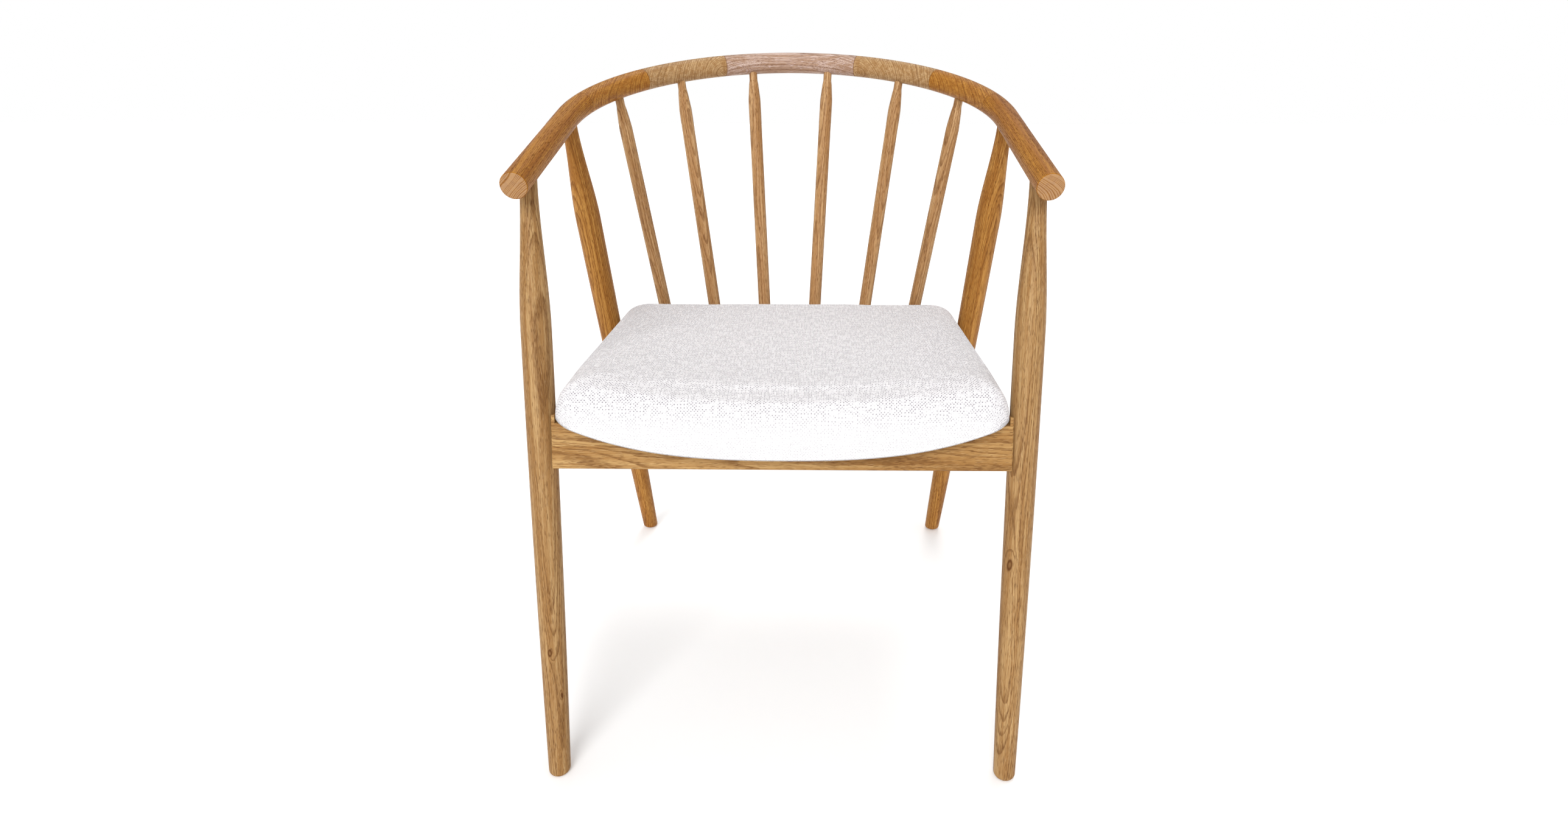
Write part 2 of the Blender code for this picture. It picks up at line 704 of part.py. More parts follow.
def pad_form(shop, name, grow, material=None):
    """The padded seat, in rings: a lower edge that hangs lowest in front, a rounded shoulder, a crown."""
    middle = Vector((0, (seat_front() + seat_rear()) / 2))
    edge = seat_outline(SEAT_LOW_ROUNDING)
    near, far = ([middle + (p - middle) * share for p in edge] for share in (0.93, 0.84))
    lowest = LIP_SIDE - LIP_DROP - grow
    rings = [[(p.x, p.y, lowest) for p in far], [(p.x, p.y, pad_low(p.x, p.y) - grow) for p in near]]
    for turn in (72, 36, 0):
        inset, rise = (SEAT_LOW_ROUNDING * (1 - share) for share in unit_turn(turn))
        outline = seat_outline(inset - grow)
        rings.append([(p.x, p.y, pad_low(p.x, p.y) - grow + rise) for p in outline])
    for turn in (0, 20, 40, 60, 80):
        inset, rise = (1 - share for share in unit_turn(turn))
        outline = seat_outline(SEAT_SHOULDER * inset - grow)
        rings.append([(p.x, p.y, pad_top(p.x, p.y) + grow - shoulder_drop(p.y) * rise) for p in outline])
    crest = seat_outline(SEAT_SHOULDER)
    for share in (0.93, 0.7, 0.4):
        flat = [middle + (p - middle) * share for p in crest]
        rings.append([(p.x, p.y, pad_top(p.x, p.y) + grow) for p in flat])
    count = len(rings[0])
    verts = [p for ring in rings for p in ring]
    verts.append((middle.x, middle.y, pad_top(*middle) + grow))
    verts.append((middle.x, middle.y, lowest))
    faces = []
    for level in range(len(rings) - 1):
        for i in range(count):
            j = (i + 1) % count
            base = level * count
            faces += [(base + i, base + j, base + count + j), (base + i, base + count + j, base + count + i)]
    last = (len(rings) - 1) * count
    faces += [(last + i, last + (i + 1) % count, len(verts) - 2) for i in range(count)]
    faces += [((i + 1) % count, i, len(verts) - 1) for i in range(count)]
    mesh = bpy.data.meshes.new(name)
    mesh.from_pydata(verts, [], faces)
    return shop.add(name, mesh, material)


def under_board(shop, name, grow):
    """All that is below the board and behind the front rail's face, less the cover's own thickness."""
    edge = dished(-grow)
    block = slab(shop, name, edge + [(edge[-1][0], 0), (edge[0][0], 0)], "Y", -REACH, REACH)
    frame = front_rail_frame()
    ahead = -FRONT_RAIL_THICKNESS / 2 - COVER_THICKNESS - 3 * GAP + grow
    lip = box(shop, name + "_lip", (-REACH, ahead - REACH, -REACH), (REACH, ahead, REACH))
    lip.matrix_world = frame
    boolean(block, lip)
    return block


def make_seat(shop, plywood, foam_material, fabric, dust_material):
    """Board, foam, cover and dust cover, each inside the next with a small gap."""
    board = layer(shop, "seat_board", 0, BOARD_THICKNESS, plywood)
    boolean(board, slab(shop, "board_edge", board_outline(0), "Z", 0, REACH), "INTERSECT")
    foam = pad_form(shop, "seat_foam", 0, foam_material)
    boolean(foam, under_board(shop, "foam_underside", 0))
    board_space = layer(shop, "board_space", -BOARD_THICKNESS / 4, BOARD_THICKNESS + GAP)
    boolean(board_space, slab(shop, "board_space_edge", board_outline(GAP), "Z", 0, REACH), "INTERSECT")
    boolean(foam, board_space)
    cover = pad_form(shop, "seat_cover", GAP + COVER_THICKNESS, fabric)
    top = BOARD_UNDERSIDE + BOARD_THICKNESS / 2
    opening = slab(shop, "cover_opening", board_outline(-COVER_TURN_UNDER), "Z", 0, top)
    boolean(cover, opening)
    boolean(cover, under_board(shop, "cover_underside", GAP + COVER_THICKNESS))
    inside = pad_form(shop, "cover_inside", GAP)
    boolean(inside, under_board(shop, "inside_underside", GAP))
    boolean(cover, inside)
    top = -COVER_THICKNESS - 2 * GAP
    dust = layer(shop, "dust_cover", top - DUST_THICKNESS, top, dust_material)
    boolean(dust, slab(shop, "dust_edge", dust_outline(), "Z", 0, REACH), "INTERSECT")
    return board, foam, cover, dust


def dust_outline():
    """Straight-sided, from just behind the front lip to just before the seat's rear edge."""
    half = SEAT_HALF_WIDTH - DUST_INSET
    front = front_rail_back(FRONT_RAIL_MIDDLE) - FRONT_RAIL_THICKNESS / 2
    rear = seat_rear() - DUST_INSET
    return [(-half, front), (half, front), (half, rear), (-half, rear)]


def screw_profile(length, grow=0.0):
    """Head first, then shank and point, lengths from the point. A hole is larger by grow, and open above."""
    return [
        (SCREW_HEAD_RADIUS + grow, length + SCREW_HEAD + (BLOCK_SIDE if grow else 0)),
        (SCREW_HEAD_RADIUS + grow, length - grow),
        (SCREW_RADIUS + grow, length - SCREW_NECK - grow),
        (SCREW_RADIUS + grow, SCREW_POINT),
        (SCREW_TIP_RADIUS + grow, -grow),
    ]


def drive(shop, name, metal, point, head, pieces):
    """A screw whose head seats at head and whose point is at point, with its hole in each piece."""
    length = (head - point).length
    turned(shop, name, screw_profile(length), point, head, SMALL_STEPS, metal)
    profile = screw_profile(length, GAP)
    hole = turned(shop, name + "_hole", profile, point, head, SMALL_STEPS)
    for piece in pieces:
        boolean(piece, hole)


def make_blocks(shop, oak, metal, rails, seat):
    """Corner blocks behind the front rail, each with a screw into either rail and one up into the seat."""
    board, _, cover, dust = seat
    front_space = bpy.data.objects["front_rail_space"]
    inner = RAIL_END_X - SIDE_RAIL_THICKNESS - GAP
    height = (BLOCK_BOTTOM + BLOCK_TOP) / 2
    front = front_rail_back(height)
    half_length = BLOCK_SCREW_LENGTH / 2
    for side, sign in SIDES:
        wide, narrow = sign * inner, sign * (inner - BLOCK_SIDE)
        outline = [
            (wide, front - OVERLAP),
            (wide, front + BLOCK_SIDE),
            (sign * (inner - BLOCK_NOSE), front + BLOCK_SIDE),
            (narrow, front + BLOCK_NOSE),
            (narrow, front - OVERLAP),
        ]
        name = f"{side}_corner_block"
        block = slab(shop, name, outline, "Z", BLOCK_BOTTOM, BLOCK_TOP, oak)
        boolean(block, front_space)
        rail = rails[f"{side}_side_rail"]
        tip = Vector((sign * (inner - FRONT_SCREW_PLACE), front - SCREW_BITE, height))
        head = tip + Vector((0, BLOCK_SCREW_LENGTH, 0))
        drive(shop, f"{side}_front_block_screw", metal, tip, head, [block, rails["front_rail"]])
        at = Vector((wide, front + SIDE_SCREW_PLACE, height - SIDE_SCREW_DROP))
        reach = Vector((sign * half_length, 0, 0))
        drive(shop, f"{side}_side_block_screw", metal, at + reach, at - reach, [block, rail])
        x = sign * (inner - SEAT_SCREW_INWARD)
        head = Vector((x, front + SEAT_SCREW_BEHIND, BLOCK_BOTTOM + SCREW_HEAD))
        tip = Vector((x, head.y, board_underside(x) + SEAT_SCREW_BITE))
        drive(shop, f"{side}_front_seat_screw", metal, tip, head, [block, board, cover, dust])


def make_rear_seat_screws(shop, metal, rails, seat):
    board, _, cover, dust = seat
    for side, sign in SIDES:
        x = sign * REAR_SEAT_SCREW_X
        head = Vector((x, bearer_depth(), SIDE_RAIL_BOTTOM + SCREW_HEAD))
        tip = Vector((x, bearer_depth(), board_underside(x) + SEAT_SCREW_BITE))
        drive(shop, f"{side}_rear_seat_screw", metal, tip, head, [rails["rear_bearer"], board, cover, dust])


def make_leg_bolts(shop, metal, brass, rails, legs):
    """A bolt from inside each side rail into a threaded insert in the rear leg."""
    inner = RAIL_END_X - SIDE_RAIL_THICKNESS
    for side, sign in SIDES:
        foot, top = leg_ends(False, sign)
        depth = foot.y + (top.y - foot.y) * BOLT_HEIGHT / top.z
        face = Vector((sign * inner, depth, BOLT_HEIGHT))
        out = Vector((sign, 0, 0))
        rail, leg = rails[f"{side}_side_rail"], legs[f"rear_leg_{side}"]
        tip = face + out * (SIDE_RAIL_THICKNESS + BOLT_BITE)
        under_head = face - out * (WASHER_THICKNESS + 2 * GAP)
        length = (tip - under_head).length
        profile = [
            (BOLT_HEAD_RADIUS, length + BOLT_HEAD),
            (BOLT_HEAD_RADIUS, length),
            (BOLT_RADIUS, length),
            (BOLT_RADIUS, 0),
        ]
        turned(shop, f"{side}_leg_bolt", profile, tip, under_head, SMALL_STEPS, metal)
        start = face - out * OVERLAP
        shank = pin(shop, f"{side}_leg_bolt_hole", start, tip + out * GAP, BOLT_RADIUS + GAP)
        near, far = face - out * GAP, face - out * (GAP + WASHER_THICKNESS)
        washer = pin(shop, f"{side}_leg_washer", near, far, WASHER_RADIUS, metal)
        boolean(washer, shank)
        mouth = face + out * (SIDE_RAIL_THICKNESS + 2 * GAP)
        end = tip - out * GAP * 3
        insert = pin(shop, f"{side}_leg_insert", mouth, end, INSERT_RADIUS, brass)
        boolean(insert, shank)
        hole = f"{side}_leg_insert_hole"
        socket = pin(shop, hole, mouth - out * OVERLAP, end + out * GAP, INSERT_RADIUS + GAP)
        boolean(rail, shank)
        boolean(leg, shank)
        boolean(leg, socket)


def centre_over_origin(shop):
    """Moves the root so that the middle of the chair's box, seen from above, is over the origin."""
    bpy.context.view_layer.update()
    graph = bpy.context.evaluated_depsgraph_get()
    low, high = Vector((9, 9)), Vector((-9, -9))
    for obj in shop.parts.objects:
        if obj.type != "MESH":
            continue
        shape = obj.evaluated_get(graph)
        for vert in shape.to_mesh().vertices:
            place = obj.matrix_world @ vert.co
            for axis in (0, 1):
                low[axis] = min(low[axis], place[axis])
                high[axis] = max(high[axis], place[axis])
        shape.to_mesh_clear()
    shop.root.location = (*(-(low + high) / 2), 0)


def main():
    for obj in list(bpy.data.objects):
        bpy.data.objects.remove(obj)
    shop = Workshop()
    oak = make_material("oak", OAK, 0.45)
    plywood = make_material("plywood", (0.66, 0.50, 0.32, 1), 0.6)
    foam_material = make_material("foam", (0.85, 0.80, 0.62, 1), 0.95)
    fabric = make_material("woven_fabric", (0.82, 0.79, 0.77, 1), 0.9)
    dust_material = make_material("dust_cloth", (0.03, 0.03, 0.03, 1), 0.9)
    steel = make_material("zinc_steel", (0.62, 0.62, 0.60, 1), 0.35, 1.0)
    brass = make_material("brass", (0.75, 0.58, 0.28, 1), 0.35, 1.0)
    blocks = make_bow(shop, oak)
    end = bow_end()
    bow_space = rod(shop, "bow_space", -end, end, ROD_RADIUS + GAP)
    legs = make_legs(shop, oak, blocks, bow_space)
    rails = make_frame(shop, oak, legs)
    make_spindles(shop, oak, blocks, rails["rear_rail"])
    seat = make_seat(shop, plywood, foam_material, fabric, dust_material)
    make_blocks(shop, oak, steel, rails, seat)
    make_rear_seat_screws(shop, steel, rails, seat)
    make_leg_bolts(shop, steel, brass, rails, legs)
    centre_over_origin(shop)


main()
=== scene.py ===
"""The looks of a spindle armchair: smooth turned oak over the CAD frame, a woven seat pad, and a pale studio.

Depths in this file are measured back from the centres of the front feet, as in the drawing of the chair, and
SHIFT moves them to the frame, whose origin is under the middle of the chair. Sizes are in metres.
"""

import json
import math

import bpy
import numpy as np
from bpy.props import FloatProperty, FloatVectorProperty, PointerProperty
from mathutils import Matrix, Vector


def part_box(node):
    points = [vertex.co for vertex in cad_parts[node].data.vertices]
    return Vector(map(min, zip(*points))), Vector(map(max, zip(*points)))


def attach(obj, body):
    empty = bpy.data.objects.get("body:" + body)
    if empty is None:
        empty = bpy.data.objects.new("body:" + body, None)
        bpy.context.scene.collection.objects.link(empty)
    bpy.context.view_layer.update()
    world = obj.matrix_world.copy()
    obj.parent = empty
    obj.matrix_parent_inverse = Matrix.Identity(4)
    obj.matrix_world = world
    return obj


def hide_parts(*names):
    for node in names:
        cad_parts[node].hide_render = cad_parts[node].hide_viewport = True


bl_info = {
    "name": "Spindle armchair",
    "version": (1, 0, 0),
    "blender": (4, 5, 0),
    "location": "3D View > Sidebar > Chair",
    "description": "Dresses the frame of a spindle armchair in oak and woven cloth",
    "category": "Object",
}

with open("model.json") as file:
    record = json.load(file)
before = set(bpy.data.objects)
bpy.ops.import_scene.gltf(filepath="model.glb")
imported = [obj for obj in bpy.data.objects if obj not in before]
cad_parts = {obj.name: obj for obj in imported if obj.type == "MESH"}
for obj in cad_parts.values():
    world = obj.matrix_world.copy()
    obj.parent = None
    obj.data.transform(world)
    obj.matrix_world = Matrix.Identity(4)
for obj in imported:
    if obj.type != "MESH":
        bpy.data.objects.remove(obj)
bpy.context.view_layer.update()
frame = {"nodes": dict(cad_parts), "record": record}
MOUNTS = {mount["name"]: mount for mount in frame["record"]["mounts"]}
SHIFT = np.array([0.0, MOUNTS["front_left_foot"]["pos_m"][1], 0.0])
SIDES = (("left", -1), ("right", 1))
MM = 1000  # millimetres in a metre: wood and cloth patterns are worked out in millimetres

# Points round the bow's rod and round a leg or spindle, and the distance between the rod's rings.
ROD_POINTS = 72
STICK_POINTS = 48
RING_STEP = 0.004
# Length at a glued end over which the rod comes to its full radius, which leaves a fine line at the joint.
HAIR = 0.00012
# How far a leg's or spindle's coped end goes into the bow's rod, and the length that bends into the cope.
COPE_DEPTH = 0.0006
COPE_REACH = 0.030
# A leg is cut level up to the first height, and square to itself from the two together.
LEVEL_FOOT = 0.006
LEVEL_REACH = 0.050
# How far a spindle goes down into the rear rail, and the distance over which its profile is softened.
SPINDLE_TENON = 0.018
SPINDLE_SOFTENING = 0.002
# Edges that turn by more than this many degrees stay sharp.
SHARP_ANGLE = 38
# How far inside the pad's outline its cover starts, before the filling presses it out in so many frames.
COVER_INSET = 0.0006
FILLING_FRAMES = 20

# Small knots in the front legs: their place and the radius of the core in millimetres.
KNOTS = {
    "front_leg_left": (((-0.2619, 0.0226, 0.1478), 2.2), ((-0.2501, 0.0141, 0.0967), 1.8)),
    "front_leg_right": (((0.2545, 0.0525, 0.2480), 3.0),),
}
# Each board's tint over the wood's own colours, for red, green and blue. Beside each board's own tone,
# the large green and blue factors of the back, shoulders, front legs, spindles and front rail add a
# painted sheen, and the arms' low green and blue add painted shade.
BACK_TINT_AND_PAINTED_SHEEN = (1.22, 1.77, 5.6)
SHOULDER_TINT_AND_PAINTED_SHEEN = (1.12, 1.42, 2.6)
BEND_TINT = (1.02, 0.91, 0.63)
ARM_TINT_AND_PAINTED_SHADE = (0.92, 0.76, 0.32)
FRONT_LEG_TINT_AND_PAINTED_SHEEN = (0.93, 1.11, 1.8)
REAR_LEG_TINT = (1.02, 0.96, 0.85)
SPINDLE_TINT_AND_PAINTED_SHEEN = (1.15, 1.38, 2.5)
FRONT_RAIL_TINT_AND_PAINTED_SHEEN = (1.03, 1.22, 1.8)
RAIL_TINT = (0.95, 0.95, 0.95)
BEARER_TINT = (0.9, 0.9, 0.9)
BLOCK_TINT = (0.92, 0.92, 0.92)
DOWEL_TINT = (1.15, 1.15, 1.15)

# The lamps: name, degrees round from the front, degrees up, degrees across, and power.
LAMPS = (("key", -12, 31, 34, 2.12), ("rim", 165, 62, 26, 0.8))
# The camera: its place, its angles, and its focal length and middle in pixels of a picture 2576 wide.
CAMERA_PLACE = (0.02648, -0.75373, 0.73083)
CAMERA_PITCH, CAMERA_YAW, CAMERA_ROLL = 0.36278, 0.01094, 0.00145
FOCAL_PIXELS = 1359.435
MIDDLE_PIXEL = 1310.19
PICTURE_WIDTH = 2576
SENSOR_WIDTH = 36.0
# The floor's half width, in metres.
FLOOR_REACH = 30.0


def length(name, default, description):
    """A size in metres that the user may change."""
    return FloatProperty(name=name, default=default, description=description, unit="LENGTH", precision=4)


def colour(name, default, description):
    return FloatVectorProperty(
        name=name, default=default, description=description, subtype="COLOR", size=3, min=0, max=1
    )


class BowSizes(bpy.types.PropertyGroup):
    """The round rod that is both arms and back rail"""

    rod: length("Rod radius", 0.0145, "Radius of the bow's round section")
    curve: length("Curve radius", 0.275, "Radius of the half circle, seen from above")
    arm: length("Arm length", 0.225, "Straight length of each arm, seen from above")
    apex_depth: length("Apex depth", 0.620, "Depth of the rearmost point behind the front feet")
    apex_height: length("Apex height", 0.7865, "Height of the rearmost point")
    back_seam: length("Back seam", 0.102, "First glue joint, along the bow from its apex")
    shoulder_seam: length("Shoulder seam", 0.238, "Second glue joint")
    bend_seam: length("Bend seam", 0.372, "Third glue joint")
    rounding: length("End rounding", 0.0015, "Rounding of the arms' front ends")
    rise: FloatProperty(
        name="Rise",
        default=math.radians(15.3),
        description="Slope of the bow, up to the rear",
        subtype="ANGLE",
    )


class LegSizes(bpy.types.PropertyGroup):
    """The turned legs"""

    foot_x: length("Foot offset", 0.2585, "Distance of each foot from the middle")
    wheelbase: length("Depth between feet", 0.600, "From the front feet to the rear feet")
    foot: length("Foot radius", 0.0122, "Radius at the floor")
    belly: length("Belly radius", 0.0166, "Largest radius")
    neck: length("Neck radius", 0.0096, "Radius below the bow")
    rounding: length("Foot rounding", 0.005, "Rounding of the foot's edge")
    front_taper: length("Front taper", 0.160, "Length over which a front leg narrows")
    rear_taper: length("Rear taper", 0.125, "Length over which a rear leg narrows")
    setback: length("Setback", 0.051, "Front leg's place behind the arm's end")
    rear_place: length("Rear place", 0.429, "Rear leg's place along the bow from its apex")


class SpindleSizes(bpy.types.PropertyGroup):
    """The six spindles"""

    top_pitch: length("Top pitch", 0.1158, "Distance between spindles along the bow")
    foot_pitch: length("Foot pitch", 0.0764, "Distance between spindles along the rear rail")
    radius: length("Radius", 0.0092, "Radius of the shaft")
    neck: length("Neck radius", 0.0060, "Radius where it enters the bow and the rail")
    neck_length: length("Neck length", 0.005, "Length of the neck")
    cone: length("Cone length", 0.034, "Length over which the shaft narrows to its neck")


class PadSizes(bpy.types.PropertyGroup):
    """The upholstered seat pad"""

    front_bow: length("Front bow", 0.020, "How far the front edge bows forward")
    front_corner: length("Front corner", 0.024, "Radius of the front corners, seen from above")
    rear_corner: length("Rear corner", 0.040, "Radius of the rear corners, seen from above")
    top_front: length("Top in front", 0.456, "Height of the sides' crest in front")
    top_rear: length("Top behind", 0.446, "Height of the sides' crest behind")
    dish: length("Dish", 0.016, "How far the front's middle lies below the sides")
    shoulder: length("Shoulder", 0.030, "How far in the top edge's rounding reaches at the sides")
    front_shoulder: length("Front shoulder", 0.038, "How far in the rounding reaches in front")
    front_zone: length("Front zone", 0.110, "Depth over which the front's rounding becomes the sides'")
    drop_front: length("Front roll", 0.050, "Height of the rounding in front")
    drop_rear: length("Rear roll", 0.026, "Height of the rounding behind")
    low_rounding: length("Lower rounding", 0.0016, "Rounding of the lower edge")
    lip_side: length("Lip at the sides", 0.398, "Height of the lower edge at the sides")
    lip_drop: length("Lip drop", 0.0255, "How much lower the lip hangs in the middle")
    corner_lift: length("Corner lift", 0.010, "How much the lip lifts at the front corners")
    lift_depth: length("Lift depth", 0.045, "How far back the lift reaches")
    puff: length("Puff", 0.0022, "How far the filling may press the cover out")


class Finishes(bpy.types.PropertyGroup):
    """Colours of the wood and the cloth"""

    oak_light: colour("Oak, light", (0.455, 0.237, 0.064), "Latewood of the palest boards")
    oak_warm: colour("Oak, warm", (0.305, 0.132, 0.028), "Streaks between the rings")
    oak_dark: colour("Oak, dark", (0.20, 0.076, 0.014), "Porous first wood of each ring")
    oak_pore: colour("Oak, pores", (0.12, 0.040, 0.008), "Open pores")
    oak_ray: colour("Oak, rays", (0.50, 0.28, 0.090), "Flecks where rays are cut lengthwise")
    cloth: colour("Cloth", (0.95, 0.925, 0.94), "Raised threads of the cover")
    # The gaps' colour is painted shade inside the holes.
    cloth_hole_shade: colour("Cloth, gaps", (0.26, 0.22, 0.28), "Holes between the threads")
    thread: length("Thread pitch", 0.0018, "Distance between neighbouring threads")


class Wire:
    """A value in a material. Adding, taking away, multiplying or dividing wires adds the Math node for it."""

    def __init__(self, nodes, socket):
        self.nodes, self.socket = nodes, socket

    def __add__(self, other):
        return self.nodes.maths("ADD", self, other)

    def __sub__(self, other):
        return self.nodes.maths("SUBTRACT", self, other)

    def __rsub__(self, other):
        return self.nodes.maths("SUBTRACT", other, self)

    def __mul__(self, other):
        return self.nodes.maths("MULTIPLY", self, other)

    def __truediv__(self, other):
        return self.nodes.maths("DIVIDE", self, other)

    def __rtruediv__(self, other):
        return self.nodes.maths("DIVIDE", other, self)

    __radd__ = __add__
    __rmul__ = __mul__


class Nodes:
    """The nodes of a material or of the world in the making."""

    def __init__(self, owner, shader):
        owner.use_nodes = True
        self.tree = owner.node_tree
        self.shader = self.tree.nodes[shader]

    def feed(self, inputs):
        """Sets or links the shader's sockets."""
        self.fill(self.shader, inputs)

    def fill(self, node, inputs):
        for name, value in inputs.items():
            if isinstance(value, Wire):
                self.tree.links.new(value.socket, node.inputs[name])
            else:
                node.inputs[name].default_value = value

    def node(self, kind, settings=None, inputs=None, output=0):
        """Adds a node of this kind, sets its settings, then its sockets, and gives one of its outputs."""
        made = self.tree.nodes.new(kind)
        for name, value in (settings or {}).items():
            setattr(made, name, value)
        self.fill(made, inputs or {})
        return Wire(self, made.outputs[output])

    def maths(self, operation, first, second=0.0):
        return self.node("ShaderNodeMath", {"operation": operation}, {0: first, 1: second})

    def vector(self, operation, first, second=(0, 0, 0), output=0):
        return self.node("ShaderNodeVectorMath", {"operation": operation}, {0: first, 1: second}, output)

    def mix(self, share, first, second):
        """The first colour, going over to the second as share goes from 0 to 1."""
        first, second = ((*c, 1) if isinstance(c, tuple) and len(c) == 3 else c for c in (first, second))
        return self.node("ShaderNodeMix", {"data_type": "RGBA"}, {0: share, 6: first, 7: second}, 2)

    def step(self, value, low, high):
        """0 below low to 1 above high, smoothly; with high below low it runs the other way."""
        settings = {"interpolation_type": "SMOOTHSTEP"}
        return self.node("ShaderNodeMapRange", settings, {"Value": value, "From Min": low, "From Max": high})

    def noise(self, place, scale, detail=1.0, output=0):
        """Noise with lumps scale apart along the place's three axes: output 0 a number, output 1 a colour."""
        spread = self.vector("MULTIPLY", place, tuple(1 / s for s in scale))
        inputs = {"Vector": spread, "Scale": 1, "Detail": detail}
        return self.node("ShaderNodeTexNoise", {"noise_dimensions": "3D"}, inputs, output)

    def drift(self, place, scale, reach):
        """The place moved about by noise, by up to half of reach either way along each axis."""
        wander = self.vector("SUBTRACT", self.noise(place, scale, 1, 1), (0.5, 0.5, 0.5))
        return self.vector("MULTIPLY", wander, reach)

    def part(self, vector, axis):
        return self.node("ShaderNodeSeparateXYZ", None, {0: vector}, axis)

    def bump(self, height, distance, strength=1.0):
        inputs = {"Height": height, "Distance": distance, "Strength": strength}
        return self.node("ShaderNodeBump", None, inputs)


class Finish(Nodes):
    """A material in the making."""

    def __init__(self, name, roughness=0.5, metallic=0.0):
        self.material = bpy.data.materials.new(name)
        super().__init__(self.material, "Principled BSDF")
        self.feed({"Roughness": roughness, "Metallic": metallic})


def shaded(colour_value, share):
    """The colour times share, which is one number or one for each of red, green and blue."""
    return tuple(float(min(c, 1.0)) for c in np.array(colour_value) * np.array(share))


def oak(name, fibre, pith, ring, tint_and_painted_light, knots=(), glued=False):
    """Oak sawn from a trunk whose pith passes through the point pith in the direction fibre. Lengths in the
    wood are in millimetres, across the fibre first and along it last.

    A point's ring number is its distance from the pith, bent by noise, over the ring's width. Each ring
    starts with a dark porous band that fades outwards. Pores are short thin dashes along the fibre, crowded
    in the dark band, and rays are thin sheets that point away from the pith. A knot bends the rings round
    itself.
    """
    look = bpy.context.scene.chair_finishes
    finish = Finish(name)
    finish.feed({"Specular IOR Level": 0.09})
    turn = Vector(fibre).rotation_difference(Vector((0, 0, 1)))
    start = turn @ (Vector(pith) + Vector(SHIFT)) * -MM
    here = finish.node("ShaderNodeTexCoord", output="Object")
    placing = {"Vector": here, "Location": start, "Rotation": turn.to_euler(), "Scale": (MM, MM, MM)}
    trunk = finish.node("ShaderNodeMapping", {"vector_type": "POINT"}, placing)
    bent = finish.vector("ADD", trunk, finish.drift(trunk, (60, 60, 330), (22, 22, 0)))
    bent = finish.vector("ADD", bent, finish.drift(trunk, (9, 9, 70), (1.6, 1.6, 0)))
    across = finish.vector("MULTIPLY", bent, (1, 1, 0))
    radius = finish.vector("LENGTH", across, output=1)
    cores = None
    for at, size in knots:
        offset = finish.vector("SUBTRACT", here, tuple(Vector(at) + Vector(SHIFT)))
        offset = finish.vector("MULTIPLY", offset, (MM / size, MM / size, 0.44 * MM / size))
        away = finish.vector("LENGTH", offset, output=1)
        core = finish.step(away, 1.35, 0.85) * (0.45 + 0.55 * finish.step(away, 0.30, 0.75))
        radius = radius + finish.step(away, 3.6, 0.2) * (size * 0.9)
        cores = core if cores is None else finish.maths("MAXIMUM", cores, core)
    count = radius / ring
    spacing = {"W": count, "Scale": 0.45, "Detail": 0}
    count = count + finish.node("ShaderNodeTexNoise", {"noise_dimensions": "1D"}, spacing) * 1.6
    share = finish.maths("FRACT", count)
    porous = finish.step(share, 0.55, 0.12) * finish.step(share, 0.0, 0.06)
    angle = finish.maths("ARCTAN2", finish.part(across, 1), finish.part(across, 0))
    ray_place = {0: angle * 150, 1: radius / 22, 2: finish.part(trunk, 2) / 9}
    sheet = finish.node("ShaderNodeCombineXYZ", None, ray_place)
    ray_noise = finish.node("ShaderNodeTexNoise", None, {"Vector": sheet, "Scale": 1, "Detail": 1})
    rays = finish.step(ray_noise, 0.60, 0.72)
    pores = finish.step(finish.noise(trunk, (0.48, 0.48, 8.0), 0) + porous * 0.12, 0.63, 0.71)
    fibres = finish.noise(trunk, (0.6, 0.6, 60), 2)
    streaks = finish.noise(trunk, (4.5, 4.5, 240), 2)
    tints = (look.oak_light, look.oak_warm, look.oak_dark, look.oak_pore, look.oak_ray)
    # The tint holds each board's own tone and, on some boards, painted sheen or painted shade.
    light, warm, dark, pore, ray = (shaded(each, tint_and_painted_light) for each in tints)
    tint = finish.mix(finish.step(streaks, 0.36, 0.66), light, warm)
    tint = finish.mix(finish.step(fibres, 0.45, 0.62) * 0.85, tint, warm)
    tint = finish.mix(porous * 0.60, tint, dark)
    tint = finish.mix(rays * 0.45, tint, ray)
    tint = finish.mix(pores * 0.68, tint, pore)
    if cores is not None:
        tint = finish.mix(cores * 0.92, tint, shaded(look.oak_pore, 0.8))
    if glued:
        seam = finish.node("ShaderNodeAttribute", {"attribute_name": "from_seam"}, output="Fac")
        tint = finish.mix(finish.step(seam, 0.00060, 0.00020) * 0.80, tint, shaded(look.oak_pore, 1.1))
        sawn = finish.node("ShaderNodeAttribute", {"attribute_name": "sawn_end"}, output="Fac")
        tint = finish.mix(sawn * (0.62 - porous * 0.50), tint, shaded(look.oak_ray, (0.80, 0.93, 1.7)))
    height = fibres * 0.25 - pores - porous * 0.15
    finish.feed(
        {
            "Base Color": tint,
            "Roughness": 0.40 + pores * 0.25 + (fibres - 0.5) * 0.16,
            "Normal": finish.bump(height, 0.00012, 0.6),
        }
    )
    return finish.material


